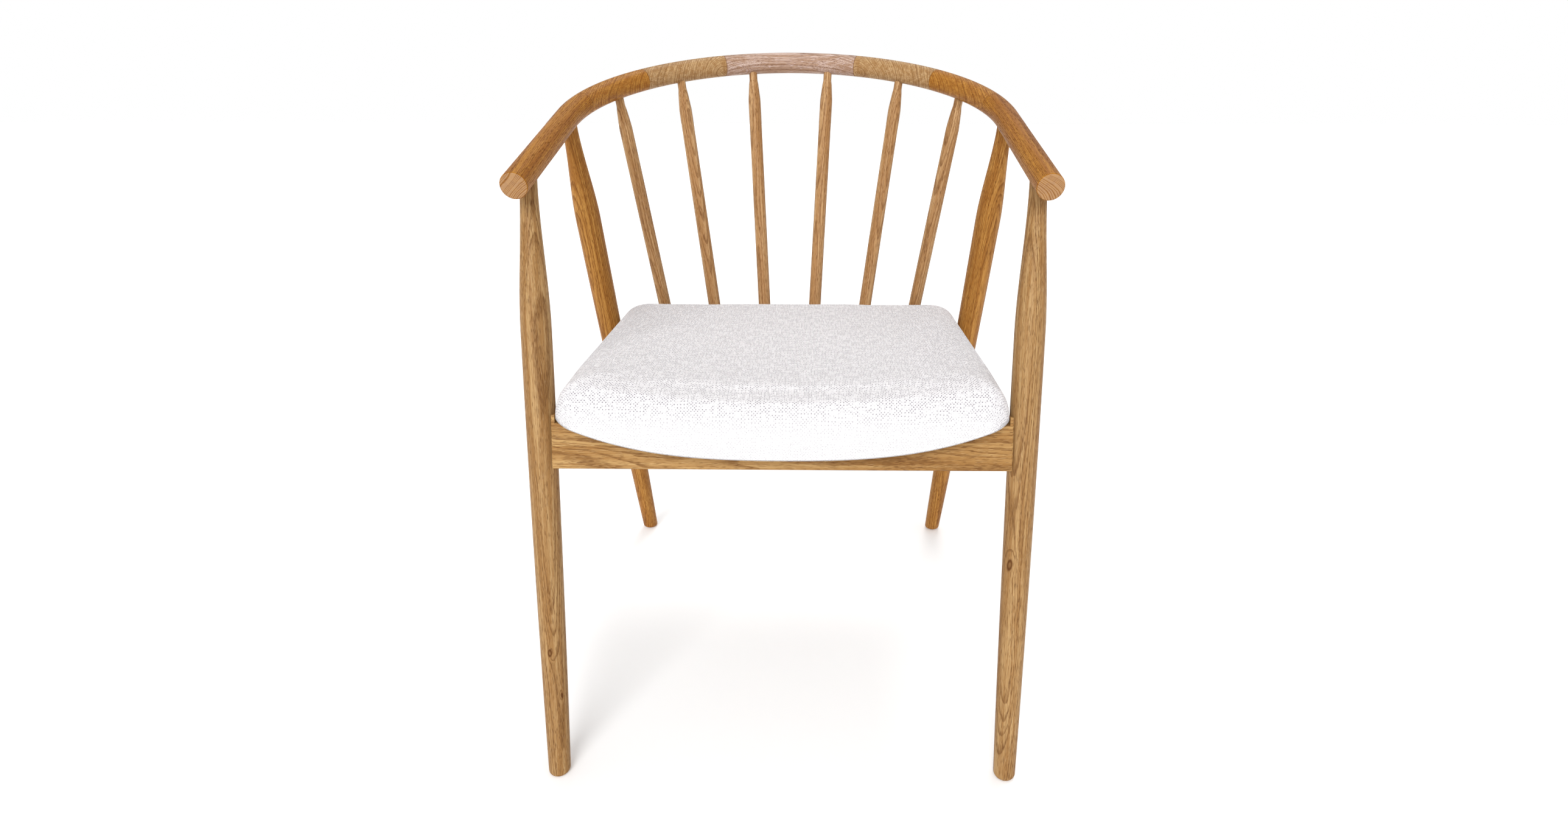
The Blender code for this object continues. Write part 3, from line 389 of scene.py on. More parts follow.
def woven_cloth():
    """The cover's plain weave, in millimetres.

    U and V turn by pi for each thread across and along. The threads along stand |sin U| + sin U sin V high,
    the ones across |sin V| - sin U sin V, and the higher one shows, with its low places in painted shade.
    Every second place where both are low, where cos U cos V is near 1, is an open hole, filled with
    painted shade. Noise thickens single threads into slubs and closes holes. On the roll in front,
    which starts 76 mm behind the front feet, holes and thin threads are darkened less: painted light where
    the front faces the lamp.
    """
    look = bpy.context.scene.chair_finishes
    finish = Finish("woven_cloth", roughness=0.92)
    finish.feed({"Sheen Weight": 0.25, "Sheen Roughness": 0.6, "Specular IOR Level": 0.2})
    cloth = finish.node("ShaderNodeUVMap", {"uv_map": "weave"})
    cloth = finish.vector("MULTIPLY", cloth, (MM, MM, 0))
    moved = finish.vector("ADD", cloth, finish.drift(cloth, (6, 6, 6), (1.3, 1.3, 0)))
    pitch = look.thread * MM
    u = finish.part(moved, 0) * (math.pi / pitch)
    v = finish.part(moved, 1) * (math.pi / pitch)
    sin_u, sin_v = finish.maths("SINE", u), finish.maths("SINE", v)
    both = sin_u * sin_v
    slub_u = finish.step(finish.noise(cloth, (pitch * 1.3, 17, 1), 1), 0.25, 0.75)
    slub_v = finish.step(finish.noise(cloth, (17, pitch * 1.3, 1), 1), 0.25, 0.75)
    thick = (slub_u + slub_v) * 0.5
    along = (finish.maths("ABSOLUTE", sin_u) + both) * (slub_u * 0.55 + 0.30)
    over = (finish.maths("ABSOLUTE", sin_v) - both) * (slub_v * 0.55 + 0.30)
    height = finish.maths("MAXIMUM", along, over)
    fuzz = finish.noise(cloth, (0.45, 0.45, 1), 1)
    raised = finish.step(height + (fuzz - 0.5) * 0.30, 0.10, 0.62)
    patchy = finish.noise(cloth, (pitch * 2.2, pitch * 2.2, 1), 1)
    corner = finish.maths("COSINE", u) * finish.maths("COSINE", v)
    # Painted light on the front roll: there the painted shade of holes and the darker thin threads are made
    # weaker.
    front_roll_painted_light = finish.step(finish.part(cloth, 1), 76, 34)
    deep = finish.step(patchy + (0.5 - thick) * 0.7, 0.36, 0.60) * (1 - front_roll_painted_light * 0.75)
    holes = finish.step(corner, 0.20, 0.85) * deep
    # Low places of the threads are painted a little darker: painted shade.
    tint = finish.mix(raised, shaded(look.cloth, 0.88), tuple(look.cloth))
    thin = finish.step(thick, 0.56, 0.30) * (0.36 - front_roll_painted_light * 0.20)
    tint = finish.mix(thin, tint, shaded(look.cloth, 0.70))
    # Open holes get the gaps' colour: painted shade inside the holes.
    tint = finish.mix(holes * 0.90, tint, tuple(look.cloth_hole_shade))
    finish.feed({"Base Color": tint, "Normal": finish.bump(height + fuzz * 0.3 - holes, 0.0009, 0.9)})
    return finish.material


def plywood():
    """Veneers 1.5 mm thick whose fibres cross, so that the board's edge shows light and dark stripes."""
    finish = Finish("plywood", roughness=0.6)
    here = finish.node("ShaderNodeTexCoord", output="Object")
    layer = finish.maths("FRACT", finish.part(here, 2) * (MM / 3.0))
    grain = finish.noise(here, (0.0006, 0.030, 0.0006), 2)
    tint = finish.mix(finish.step(layer, 0.45, 0.55), (0.60, 0.42, 0.23), (0.42, 0.26, 0.12))
    tint = finish.mix(grain * 0.5, tint, (0.33, 0.19, 0.08))
    finish.feed({"Base Color": tint, "Normal": finish.bump(grain, 0.0001, 0.4)})
    return finish.material


def dust_cloth():
    """Black spun cloth: tangled fibres with a grid of pressed points 1.3 mm apart."""
    finish = Finish("dust_cloth", roughness=0.85)
    here = finish.node("ShaderNodeTexCoord", output="Object")
    spot = finish.vector("MULTIPLY", here, (2400, 2400, 0))
    pressed = finish.maths("SINE", finish.part(spot, 0)) * finish.maths("SINE", finish.part(spot, 1))
    tangle = finish.noise(here, (0.0009, 0.0009, 0.0009), 3)
    tint = finish.mix(tangle, (0.012, 0.012, 0.013), (0.055, 0.055, 0.058))
    finish.feed({"Base Color": tint, "Normal": finish.bump(tangle - finish.step(pressed, 0.3, 0.8), 0.0002)})
    return finish.material


def turned_metal(name, tint, rough):
    """Plated metal with faint turning marks and dull patches."""
    finish = Finish(name, roughness=rough, metallic=1.0)
    here = finish.node("ShaderNodeTexCoord", output="Object")
    patches = finish.noise(here, (0.004, 0.004, 0.004), 2)
    marks = finish.noise(here, (0.0003, 0.0003, 0.0003), 1)
    finish.feed(
        {
            "Base Color": finish.mix(patches, tint, shaded(tint, 0.72)),
            "Roughness": rough + (patches - 0.5) * 0.25,
            "Normal": finish.bump(marks, 0.00004, 0.5),
        }
    )
    return finish.material


def put(name, verts, faces, material, nodes, values=None):
    """Makes a piece of the mesh, in place of these CAD nodes. Values are float attributes of its points."""
    mesh = bpy.data.meshes.new(name)
    mesh.from_pydata((verts + SHIFT).tolist(), [], faces)
    mesh.polygons.foreach_set("use_smooth", np.ones(len(mesh.polygons), bool))
    for key, numbers in (values or {}).items():
        mesh.attributes.new(key, "FLOAT", "POINT").data.foreach_set("value", numbers.astype(np.float32))
    mesh.set_sharp_from_angle(angle=math.radians(SHARP_ANGLE))
    mesh.materials.append(material)
    piece = bpy.data.objects.new(name, mesh)
    bpy.context.scene.collection.objects.link(piece)
    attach(piece, "root")
    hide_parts(*nodes)
    return piece


def tube_faces(grid):
    """Vertices and outward faces of a closed tube. The grid's rows are rings from one end to the other, and a
    fan about the middle of its first and last ring closes each end. Where the volume that the faces enclose,
    the sum of a . (b x c) / 6 over triangles, comes out negative, the faces are turned round."""
    rows, count = grid.shape[:2]
    verts = np.vstack([grid.reshape(-1, 3), grid[0].mean(0), grid[-1].mean(0)])
    row, i = np.meshgrid(np.arange(rows - 1), np.arange(count), indexing="ij")
    a = row * count + i
    b = row * count + (i + 1) % count
    quads = np.stack([a, b, b + count, a + count], -1).reshape(-1, 4)
    i = np.arange(count)
    j = (i + 1) % count
    first = np.stack([j, i, np.full(count, rows * count)], -1)
    end = (rows - 1) * count
    last = np.stack([end + i, end + j, np.full(count, rows * count + 1)], -1)
    triangles = np.vstack([quads[:, :3], quads[:, [0, 2, 3]], first, last])
    corners = verts[triangles] - verts.mean(0)
    volume = np.einsum("ij,ij->i", corners[:, 0], np.cross(corners[:, 1], corners[:, 2])).sum()
    faces = quads.tolist() + first.tolist() + last.tolist()
    return verts, faces if volume > 0 else [face[::-1] for face in faces]


def bow_line(place):
    """Points and unit directions of the bow's centre line, at distances from its apex, + to the right.

    Seen from above it is a half circle with straight arms: x = R sin(s/R), and the depth ahead of the apex is
    R (1 - cos(s/R)), with the rest of s added past the quarter turn. It falls by tan(rise) times that depth.
    """
    size = bpy.context.scene.chair_bow
    place = np.asarray(place, float)
    side, along = np.sign(place), np.abs(place)
    quarter = size.curve * math.pi / 2
    turn = np.minimum(along, quarter) / size.curve
    ahead = size.curve * (1 - np.cos(turn)) + np.maximum(along - quarter, 0)
    fall = math.tan(size.rise)
    depth, height = size.apex_depth - ahead, size.apex_height - fall * ahead
    points = np.stack([side * size.curve * np.sin(turn), depth, height], -1)
    way = np.stack([np.cos(turn), -side * np.sin(turn), -side * fall * np.sin(turn)], -1)
    return points, way / np.linalg.norm(way, axis=-1, keepdims=True)


def bow_end():
    size = bpy.context.scene.chair_bow
    return size.curve * math.pi / 2 + size.arm


def bow_block(name, start, end, material, free_end=False):
    """One block of the bow: a circle of the rod's radius carried along the centre line, square to it.

    Glued ends are sharp but for a hair, and a free end is rounded by a quarter circle. Close rings at both
    ends keep the shading of the end off the round. The points carry their distance from the nearest glued
    seam, and whether they lie on a sawn end.
    """
    size = bpy.context.scene.chair_bow
    sign = 1 if end > start else -1
    turn = np.linspace(0, math.pi / 2, 7)
    edge = size.rounding if free_end else HAIR
    rings = max(int(abs(end - start) / RING_STEP), 6)
    body = np.linspace(start + sign * 0.0012, end - sign * (edge + 0.0012), rings)
    head = start + sign * np.array([0.00001, HAIR, 0.0004])
    tail = end - sign * (0.00001 + edge * (1 - np.sin(turn)))
    place = np.concatenate([head, body, [end - sign * (edge + 0.0005)], tail])
    shrink = np.concatenate([[HAIR, 0, 0], body * 0, [0], edge * (1 - np.cos(turn))])
    points, way = bow_line(place)
    up = np.array([0, -math.sin(size.rise), math.cos(size.rise)])
    out = np.cross(way, up)
    angle = np.linspace(0, 2 * math.pi, ROD_POINTS, endpoint=False)[None, :, None]
    ring = np.cos(angle) * out[:, None, :] + np.sin(angle) * up
    grid = points[:, None, :] + ring * (size.rod - shrink)[:, None, None]
    verts, faces = tube_faces(grid)
    seam = np.abs(place - start) if free_end else np.minimum(np.abs(place - start), np.abs(place - end))
    seam = np.concatenate([np.repeat(seam, ROD_POINTS), [0.005, 0.005]])
    sawn = np.zeros(len(verts))
    if free_end:
        sawn[-2 - ROD_POINTS * 3 :] = 1
        sawn[-2] = 0
    return put(name + "_wood", verts, faces, material, [name], {"from_seam": seam, "sawn_end": sawn})


def stick(foot, top, bow_way, stations, radii, on_floor=False):
    """A turned stick from foot to top, whose upper end is coped to the bow's rod.

    A ring's point is foot + w t + r (e1 cos a + e2 sin a). At the top t solves the quadratic that puts the
    point on the rod's cylinder. On the floor the first rings are cut level: t = (h - r e.z) / w.z.
    """
    rod = bpy.context.scene.chair_bow.rod - COPE_DEPTH
    axis = top - foot
    full = np.linalg.norm(axis)
    axis = axis / full
    first = np.cross(axis, [1.0, 0, 0])
    first /= np.linalg.norm(first)
    second = np.cross(axis, first)
    angle = np.linspace(0, 2 * math.pi, STICK_POINTS, endpoint=False)
    spoke = np.cos(angle)[:, None] * first + np.sin(angle)[:, None] * second
    neck = radii[-1]
    lean, cross = axis @ bow_way, spoke @ bow_way
    square = 1 - lean * lean
    part = neck * neck * (1 - cross**2) - rod * rod
    cope = full + (neck * lean * cross - np.sqrt((neck * lean * cross) ** 2 - square * part)) / square
    reach = np.repeat(stations[:, None], len(angle), 1)
    near_top = np.clip((stations - (full - COPE_REACH)) / COPE_REACH, 0, 1)[:, None]
    reach = reach + near_top * (cope[None, :] - full)
    if on_floor:
        level = 1 - np.clip((stations - LEVEL_FOOT) / LEVEL_REACH, 0, 1)[:, None]
        tilt = radii[:, None] * spoke[None, :, 2]
        reach = reach / axis[2] * level + reach * (1 - level) - level * tilt / axis[2]
    grid = foot + axis * reach[..., None] + spoke[None] * radii[:, None, None]
    return tube_faces(grid)


def leg_radius(distance, whole, taper):
    """A long swell from the foot to the belly, then an S-shaped taper to the neck below the bow."""
    size, rod = bpy.context.scene.chair_legs, bpy.context.scene.chair_bow.rod
    rise = np.clip(distance / (whole * 0.72), 0, 1)
    radius = size.foot + (size.belly - size.foot) * np.sin(rise * math.pi / 2) ** 0.85
    fall = np.clip((distance - whole + taper + rod) / taper, 0, 1)
    return radius - (size.belly - size.neck) * fall * fall * (3 - 2 * fall)


class CHAIR_OT_bow(bpy.types.Operator):
    """Make the seven glued blocks of the round bow"""

    bl_idname = "chair.bow"
    bl_label = "Bow of seven blocks"

    def execute(self, context):
        size = context.scene.chair_bow
        along = (0, math.cos(size.rise), math.sin(size.rise))
        seam = size.back_seam
        # The back's and shoulders' tints add painted sheen.
        back = oak("oak_back", (1, 0.02, 0.0), (0.02, 0.650, 0.715), 2.3, BACK_TINT_AND_PAINTED_SHEEN, glued=True)
        bow_block("back_rail", -seam, seam, back)
        for side, sign in SIDES:
            pith = (sign * 0.10, 0.5, 0.745)
            shoulder = oak(f"oak_{side}_shoulder", along, pith, 2.6, SHOULDER_TINT_AND_PAINTED_SHEEN, glued=True)
            bow_block(f"{side}_shoulder_rail", sign * seam, sign * size.shoulder_seam, shoulder)
            pith = (sign * 0.16, 0.5, 0.74)
            bend = oak(f"oak_{side}_bend", along, pith, 2.4, BEND_TINT, glued=True)
            bow_block(f"{side}_bend_rail", sign * size.shoulder_seam, sign * size.bend_seam, bend)
            pith = (sign * 0.235, 0.3, 0.655)
            # The arms' tint adds painted shade.
            arm = oak(f"oak_{side}_arm", along, pith, 2.2, ARM_TINT_AND_PAINTED_SHADE, glued=True)
            bow_block(f"{side}_arm_rail", sign * size.bend_seam, sign * bow_end(), arm, True)
        return {"FINISHED"}


class CHAIR_OT_legs(bpy.types.Operator):
    """Make the four turned legs"""

    bl_idname = "chair.legs"
    bl_label = "Turned legs"

    def execute(self, context):
        size = context.scene.chair_legs
        turn = np.linspace(0, math.pi / 2, 8)
        for front in (True, False):
            for side, sign in SIDES:
                place = sign * (bow_end() - size.setback if front else size.rear_place)
                foot = np.array([sign * size.foot_x, 0 if front else size.wheelbase, 0])
                top, way = bow_line(place)
                whole = np.linalg.norm(top - foot)
                taper = size.front_taper if front else size.rear_taper
                sole = size.rounding * (1 - np.cos(turn))
                stations = np.concatenate([sole, np.linspace(size.rounding + 0.001, whole, 110)])
                radii = leg_radius(stations, whole, taper)
                radii[: len(turn)] -= size.rounding * (1 - np.sin(turn))
                verts, faces = stick(foot, top, way, stations, radii, on_floor=True)
                name = f"{'front' if front else 'rear'}_leg_{side}"
                # The fibre runs a little off the leg's own line.
                fibre = (top - foot) / whole + np.array([0.004 * sign, 0.006, 0])
                pith = foot + (top - foot) * 0.5 + np.array([sign * (0.034 if front else -0.028), 0.045, 0])
                # The front legs' tint adds painted sheen.
                tint = FRONT_LEG_TINT_AND_PAINTED_SHEEN if front else REAR_LEG_TINT
                wood = oak(f"oak_{name}", fibre, pith, 2.3, tint, KNOTS.get(name, ()))
                put(name + "_wood", verts, faces, wood, [name])
        return {"FINISHED"}


class CHAIR_OT_spindles(bpy.types.Operator):
    """Make the six spindles that fan out from the rear rail to the bow"""

    bl_idname = "chair.spindles"
    bl_label = "Spindles"

    def execute(self, context):
        size, rod = context.scene.chair_spindles, context.scene.chair_bow.rod
        low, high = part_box("rear_rail")
        depth = (low.y + high.y) / 2 - SHIFT[1]
        for side, sign in SIDES:
            for number in (1, 2, 3):
                step = sign * (number - 0.5)
                foot = np.array([size.foot_pitch * step, depth, high.z])
                top, way = bow_line(size.top_pitch * step)
                whole = np.linalg.norm(top - foot)
                under = whole - rod
                lower = np.array([-SPINDLE_TENON, size.neck_length, size.neck_length + size.cone / 2])
                upper = np.array([under - size.neck_length - size.cone, under - size.neck_length, whole])
                marks = np.concatenate([lower, upper])
                widths = np.array([size.neck, size.neck, size.radius, size.radius, size.neck, size.neck])
                stations = np.linspace(-SPINDLE_TENON, whole, 150)
                shifts = (-SPINDLE_SOFTENING, 0, SPINDLE_SOFTENING)
                radii = sum(np.interp(stations + shift, marks, widths) for shift in shifts) / 3
                verts, faces = stick(foot, top, way, stations, radii)
                name = f"{side}_spindle_{number}"
                fibre = top - foot + np.array([0.004 * step, 0.003, 0])
                pith = foot + (top - foot) * 0.5 + np.array([0.021 * (1 if number % 2 else -1), 0.030, 0])
                # The spindles' tint adds painted sheen, a little less for each spindle further out.
                tint = np.array(SPINDLE_TINT_AND_PAINTED_SHEEN) * (1.03 - 0.02 * number)
                wood = oak(f"oak_{name}", fibre, pith, 2.0, tint)
                put(name + "_wood", verts, faces, wood, [name])
        return {"FINISHED"}


class Pad:
    """The seat pad's outline and heights, which are the ones of the CAD's foam and cover."""

    def __init__(self, size):
        self.size = size
        low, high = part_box("seat_cover")
        self.half = high.x
        self.rear = high.y - SHIFT[1]
        self.front = low.y - SHIFT[1] + size.front_bow
        self.middle = np.array([0.0, (self.front + self.rear) / 2])

    def outline(self, inset):
        """A rectangle with round corners, moved in by inset, with its front bowed by b (1 - (x / half)^2)."""
        size, half = self.size, self.half - inset
        front, rear = self.front + inset, self.rear - inset
        turn = np.radians(np.linspace(0, 90, 14))
        sides = []
        for x_sign, y_sign, start in ((1, 1, 0), (-1, 1, 90), (-1, -1, 180), (1, -1, 270)):
            corner = max((size.rear_corner if y_sign > 0 else size.front_corner) - inset, 0.004)
            centre = np.array([x_sign * (half - corner), rear - corner if y_sign > 0 else front + corner])
            angle = turn + math.radians(start)
            sides.append(centre + corner * np.stack([np.cos(angle), np.sin(angle)], -1))
        points = []
        for arc, after, count in zip(sides, sides[1:] + sides[:1], (44, 36, 44, 36)):
            share = np.linspace(0, 1, count + 2)[1:-1, None]
            points += [arc, arc[-1] + (after[0] - arc[-1]) * share]
        points = np.vstack(points)
        bowed = points[:, 1] < self.front + size.front_corner
        points[:, 1] -= size.front_bow * (1 - (points[:, 0] / half) ** 2) * bowed
        return points

    def back_share(self, y):
        return (y - self.front) / (self.rear - self.front)

    def top(self, x, y):
        """Height of the crown: lower at the rear, and dished across by d (1 - (x / half)^2) (1 - back^2)."""
        size, back = self.size, self.back_share(y)
        hollow = (1 - np.minimum(np.abs(x) / self.half, 1) ** 2) * (1 - np.clip(back, 0, 1) ** 2)
        return size.top_front + (size.top_rear - size.top_front) * back - size.dish * hollow

    def low(self, x, y):
        """Height of the lower edge: a cubic curve, lowest in the middle and lifted at the front corners."""
        size = self.size
        past = np.clip(((y - self.front) / size.lift_depth - 0.2) / 0.6, 0, 1)
        share = np.minimum(np.abs(x) / self.half, 1) ** 3
        lift = size.corner_lift * (1 - past * past * (3 - 2 * past))
        return size.lip_side + lift * share - size.lip_drop * (1 - share)

    def drop(self, y):
        size = self.size
        return size.drop_front + (size.drop_rear - size.drop_front) * self.back_share(y)

    def front_share(self, y):
        """1 at the front line, falling to 0 where the front's rounding has become the sides'."""
        past = np.clip((y - self.front) / self.size.front_zone, 0, 1)
        return 1 - past * past * (3 - 2 * past)

    def rings(self, inward):
        """Rings from the middle of the underside round the lower edge and up the side, round the shoulder and
        over the crown, and how many of them stay in place while the cover is filled.

        The shoulder's ring at angle a lies in by reach (1 - cos a), where reach goes from the front's to the
        sides', and below the crown by drop (1 - sin a).
        """
        size = self.size
        under, made = [], []
        edge = self.outline(size.low_rounding)
        for share in (0.25, 0.5, 0.75, 0.93):
            flat = self.middle + (edge - self.middle) * share
            under.append(np.column_stack([flat, self.low(edge[:, 0], edge[:, 1]) + inward]))
        for angle in np.radians([80, 50, 20, 0]):
            flat = self.outline(size.low_rounding * (1 - math.cos(angle)) + inward)
            rise = size.low_rounding * (1 - math.sin(angle))
            under.append(np.column_stack([flat, self.low(flat[:, 0], flat[:, 1]) + inward + rise]))
        front = self.front_share(self.outline(inward)[:, 1])[:, None]
        for angle in np.radians(np.linspace(0, 84, 13)):
            bend = 1 - math.cos(angle)
            near = self.outline(size.shoulder * bend + inward)
            far = self.outline(size.front_shoulder * bend + inward)
            flat = near + (far - near) * front
            height = self.top(flat[:, 0], flat[:, 1]) - inward - self.drop(flat[:, 1]) * (1 - math.sin(angle))
            made.append(np.column_stack([flat, height]))
        wall = [under[-1] + (made[0] - under[-1]) * share for share in (0.08, 0.25, 0.5, 0.75)]
        crest = made[-1][:, :2]
        for share in (0.96, 0.9, 0.8, 0.65, 0.5, 0.35, 0.2, 0.08):
            flat = self.middle + (crest - self.middle) * share
            made.append(np.column_stack([flat, self.top(flat[:, 0], flat[:, 1]) - inward]))
        return np.array(under + wall + made), len(under) + 1


def read_points(mesh, what="co"):
    numbers = np.zeros(len(mesh.vertices) * 3)
    mesh.vertices.foreach_get(what, numbers)
    return numbers.reshape(-1, 3)


def fill_out(piece, held, cap):
    """Lets the filling press the cover out: a cloth under pressure, whose first held points stay in place.
    Of each point's move only the part along its normal and outwards is kept, up to cap."""
    rest = read_points(piece.data)
    normals = read_points(piece.data, "normal")
    hold = piece.vertex_groups.new(name="held")
    hold.add(list(range(held)), 1.0, "REPLACE")
    cloth = piece.modifiers.new("Filling", "CLOTH")
    settings = cloth.settings
    settings.quality = 5
    settings.mass = 0.3
    settings.tension_stiffness = settings.compression_stiffness = 12
    settings.bending_stiffness = 3
    settings.use_pressure = True
    settings.uniform_pressure_force = 4
    settings.vertex_group_mass = "held"
    settings.effector_weights.gravity = 0
    cloth.point_cache.frame_start = 1
    cloth.point_cache.frame_end = FILLING_FRAMES
    scene = bpy.context.scene
    for number in range(1, FILLING_FRAMES + 1):
        scene.frame_set(number)
    graph = bpy.context.evaluated_depsgraph_get()
    evaluated = piece.evaluated_get(graph)
    pressed = read_points(evaluated.to_mesh())
    evaluated.to_mesh_clear()
    piece.modifiers.clear()
    piece.vertex_groups.clear()
    scene.frame_set(1)
    outward = ((pressed - rest) * normals).sum(1).clip(0, cap)
    piece.data.vertices.foreach_set("co", (rest + normals * outward[:, None]).ravel())
    piece.data.update()


def lay_weave(mesh, pad):
    """Lays the cloth's own coordinates over the pad, in metres: x and y on the crown, and down the sides the
    length round the shoulder that the cloth takes more than its plan does, r (a - sin a), in the direction
    in which the side faces."""
    size = pad.size
    points = read_points(mesh) - SHIFT
    normals = read_points(mesh, "normal")
    facing = normals[:, :2] / np.maximum(np.linalg.norm(normals[:, :2], axis=1, keepdims=True), 1e-6)
    x, y, z = points.T
    drop = pad.drop(y)
    below = np.clip(pad.top(x, y) - z, 0, None)
    angle = np.arccos(np.clip(1 - below / drop, 0, 1))
    reach = size.shoulder + (size.front_shoulder - size.shoulder) * pad.front_share(y)
    radius = (drop + reach) / 2
    more = radius * (angle - np.sin(angle)) + np.maximum(below - drop, 0)
    flat = points[:, :2] + facing * (more * (normals[:, 2] > -0.3))[:, None]
    corner = np.zeros(len(mesh.loops), int)
    mesh.loops.foreach_get("vertex_index", corner)
    layer = mesh.uv_layers.new(name="weave")
    layer.data.foreach_set("uv", flat[corner].ravel())


class CHAIR_OT_pad(bpy.types.Operator):
    """Make the upholstered pad: a closed cover that its filling presses out"""

    bl_idname = "chair.pad"
    bl_label = "Seat pad"

    def execute(self, context):
        size = context.scene.chair_pad
        pad = Pad(size)
        rings, held = pad.rings(COVER_INSET)
        verts, faces = tube_faces(rings)
        piece = put("seat_pad_cloth", verts, faces, woven_cloth(), ["seat_cover", "seat_foam"])
        fill_out(piece, held * rings.shape[1], size.puff)
        lay_weave(piece.data, pad)
        rounder = piece.modifiers.new("Rounder", "SUBSURF")
        rounder.levels = rounder.render_levels = 1
        return {"FINISHED"}


def dress(node, material):
    """Gives a CAD node its finish, and leaves its mesh as it is."""
    piece = frame["nodes"][node]
    piece.data.materials.clear()
    piece.data.materials.append(material)


class CHAIR_OT_frame_finish(bpy.types.Operator):
    """Finish the rails, blocks and dowels of the frame in wood"""

    bl_idname = "chair.frame_finish"
    bl_label = "Seat frame's wood"

    def execute(self, context):
        # The front rail's tint adds painted sheen.
        boards = [
            ("front_rail", "oak_front_rail", (1, 0.006, 0.004), (0.1, 0.15, 0.335), 2.3, FRONT_RAIL_TINT_AND_PAINTED_SHEEN),
            ("rear_rail", "oak_rear_rail", (1, -0.005, 0.004), (0, 0.56, 0.33), 2.6, RAIL_TINT),
            ("rear_bearer", "oak_bearer", (1, 0.004, 0), (0, 0.45, 0.30), 2.6, BEARER_TINT),
        ]
        for side, sign in SIDES:
            rail_pith = (sign * 0.30, 0.3, 0.33)
            block_fibre = (sign * 0.7, -0.7, 0)
            block_pith = (sign * 0.2, 0.15, 0.33)
            boards += [
                (f"{side}_side_rail", f"oak_{side}_rail", (0.004, 1, 0.003), rail_pith, 2.6, RAIL_TINT),
                (f"{side}_corner_block", f"oak_{side}_block", block_fibre, block_pith, 2.6, BLOCK_TINT),
            ]
            for joint in ("back", "shoulder", "bend"):
                dowel = f"dowel_{side}_{joint}"
                dowel_pith = (sign * 0.2, 0.5, 0.75)
                boards.append((f"{side}_{joint}_dowel", dowel, (0.2, 1, 0.2), dowel_pith, 2.2, DOWEL_TINT))
        for node, name, fibre, pith, ring, tint in boards:
            dress(node, oak(name, fibre, pith, ring, tint))
        dress("seat_board", plywood())
        dress("dust_cover", dust_cloth())
        return {"FINISHED"}


class CHAIR_OT_fasteners(bpy.types.Operator):
    """Finish the screws, bolts, washers and inserts in metal"""

    bl_idname = "chair.fasteners"
    bl_label = "Screws and bolts"

    def execute(self, context):
        steel = turned_metal("zinc_steel", (0.62, 0.63, 0.65), 0.34)
        brass = turned_metal("brass", (0.72, 0.52, 0.22), 0.38)
        for side, _ in SIDES:
            for kind in ("front_block_screw", "side_block_screw", "front_seat_screw", "rear_seat_screw"):
                dress(f"{side}_{kind}", steel)
            dress(f"{side}_leg_bolt", steel)
            dress(f"{side}_leg_washer", steel)
            dress(f"{side}_leg_insert", brass)
        return {"FINISHED"}


def studio_sky():
    """White at the horizon, where the floor ends, and dimmer overhead, so that the lamps shape the chair."""
    world = bpy.data.worlds.new("studio")
    sky = Nodes(world, "Background")
    upward = sky.part(sky.node("ShaderNodeTexCoord", output="Generated"), 2)
    sky.feed({"Color": (1, 1, 1, 1), "Strength": 1 - sky.step(upward, 0.14, 0.45) * 0.34})
    return world


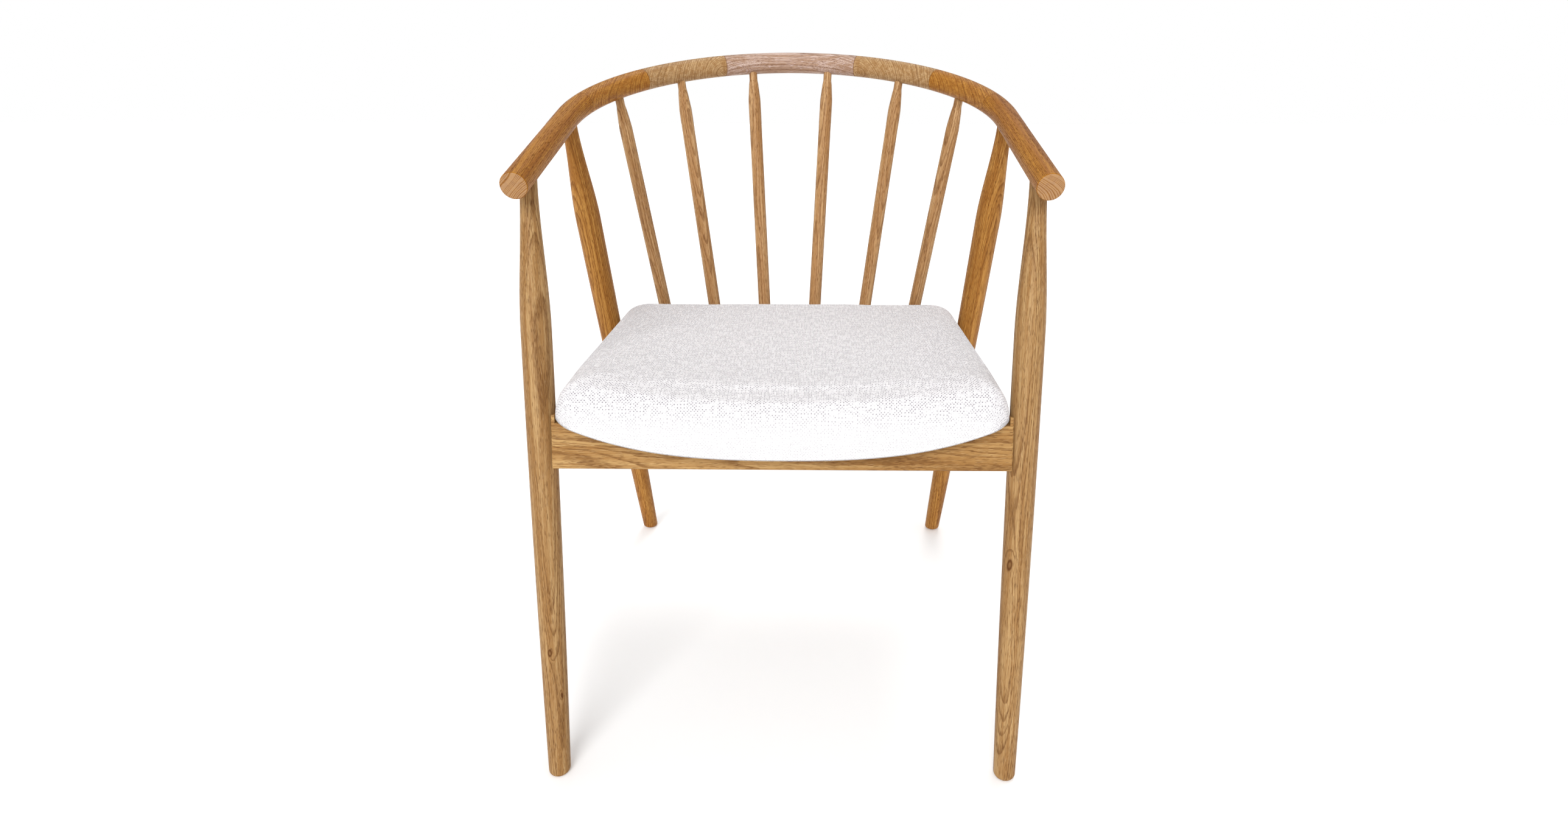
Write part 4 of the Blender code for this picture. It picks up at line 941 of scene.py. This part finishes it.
class CHAIR_OT_stage(bpy.types.Operator):
    """Set up the pale floor, the soft lights and the camera"""

    bl_idname = "chair.stage"
    bl_label = "Stage, light and camera"

    def execute(self, context):
        scene = context.scene
        scene.view_settings.view_transform = "Standard"
        mesh = bpy.data.meshes.new("floor")
        far = FLOOR_REACH
        mesh.from_pydata([(-far, -far, 0), (far, -far, 0), (far, far, 0), (-far, far, 0)], [], [(0, 1, 2, 3)])
        paper = Finish("pale_floor", roughness=0.9)
        paper.feed({"Base Color": (0.985, 0.985, 0.985, 1), "Specular IOR Level": 0.0})
        paper.feed({"Emission Color": (1, 1, 1, 1), "Emission Strength": 0.1})
        mesh.materials.append(paper.material)
        floor = bpy.data.objects.new("floor", mesh)
        scene.collection.objects.link(floor)
        scene.world = studio_sky()
        for name, turn, height, spread, power in LAMPS:
            lamp = bpy.data.lights.new(name, "SUN")
            lamp.angle, lamp.energy = math.radians(spread), power
            light = bpy.data.objects.new(name, lamp)
            turn, height = math.radians(turn), math.radians(height)
            level = math.cos(height)
            place = Vector((level * math.sin(turn), -level * math.cos(turn), math.sin(height)))
            light.matrix_world = place.to_track_quat("Z", "Y").to_matrix().to_4x4()
            scene.collection.objects.link(light)
        lens = bpy.data.cameras.new("camera")
        lens.sensor_fit = "HORIZONTAL"
        lens.sensor_width = SENSOR_WIDTH
        lens.lens = SENSOR_WIDTH * FOCAL_PIXELS / PICTURE_WIDTH
        lens.shift_x = (PICTURE_WIDTH / 2 - MIDDLE_PIXEL) / PICTURE_WIDTH
        lens.clip_start = 0.02
        camera = bpy.data.objects.new("camera", lens)
        pitch, yaw, roll = CAMERA_PITCH, CAMERA_YAW, CAMERA_ROLL
        ahead = Vector((-math.sin(yaw) * math.cos(pitch), math.cos(yaw) * math.cos(pitch), -math.sin(pitch)))
        right = Vector((math.cos(yaw), math.sin(yaw), 0))
        up = right.cross(ahead)
        across = right * math.cos(roll) + up * math.sin(roll)
        upright = up * math.cos(roll) - right * math.sin(roll)
        spot = Vector(CAMERA_PLACE) + Vector(SHIFT)
        camera.matrix_world = Matrix(
            [(*(v[i] for v in (across, upright, -ahead)), spot[i]) for i in range(3)] + [(0, 0, 0, 1)]
        )
        scene.collection.objects.link(camera)
        scene.camera = camera
        return {"FINISHED"}


class CHAIR_PT_pieces(bpy.types.Panel):
    """The chair's sizes and the buttons that make its pieces"""

    bl_label = "Spindle armchair"
    bl_idname = "CHAIR_PT_pieces"
    bl_space_type = "VIEW_3D"
    bl_region_type = "UI"
    bl_category = "Chair"

    def draw(self, context):
        for operator in OPERATORS:
            self.layout.operator(operator.bl_idname)
        for key in GROUPS:
            group = getattr(context.scene, key)
            box = self.layout.box()
            for name in group.__annotations__:
                box.prop(group, name)


OPERATORS = (
    CHAIR_OT_bow,
    CHAIR_OT_legs,
    CHAIR_OT_spindles,
    CHAIR_OT_pad,
    CHAIR_OT_frame_finish,
    CHAIR_OT_fasteners,
    CHAIR_OT_stage,
)
GROUPS = {
    "chair_bow": BowSizes,
    "chair_legs": LegSizes,
    "chair_spindles": SpindleSizes,
    "chair_pad": PadSizes,
    "chair_finishes": Finishes,
}


def register():
    for made in (*GROUPS.values(), *OPERATORS, CHAIR_PT_pieces):
        bpy.utils.register_class(made)
    for key, group in GROUPS.items():
        setattr(bpy.types.Scene, key, PointerProperty(type=group))


def unregister():
    for key in GROUPS:
        delattr(bpy.types.Scene, key)
    for made in (CHAIR_PT_pieces, *OPERATORS, *GROUPS.values()):
        bpy.utils.unregister_class(made)


def main():
    register()
    bpy.ops.chair.bow()
    bpy.ops.chair.legs()
    bpy.ops.chair.spindles()
    bpy.ops.chair.pad()
    bpy.ops.chair.frame_finish()
    bpy.ops.chair.fasteners()
    bpy.ops.chair.stage()


if __name__ == "__main__":
    main()
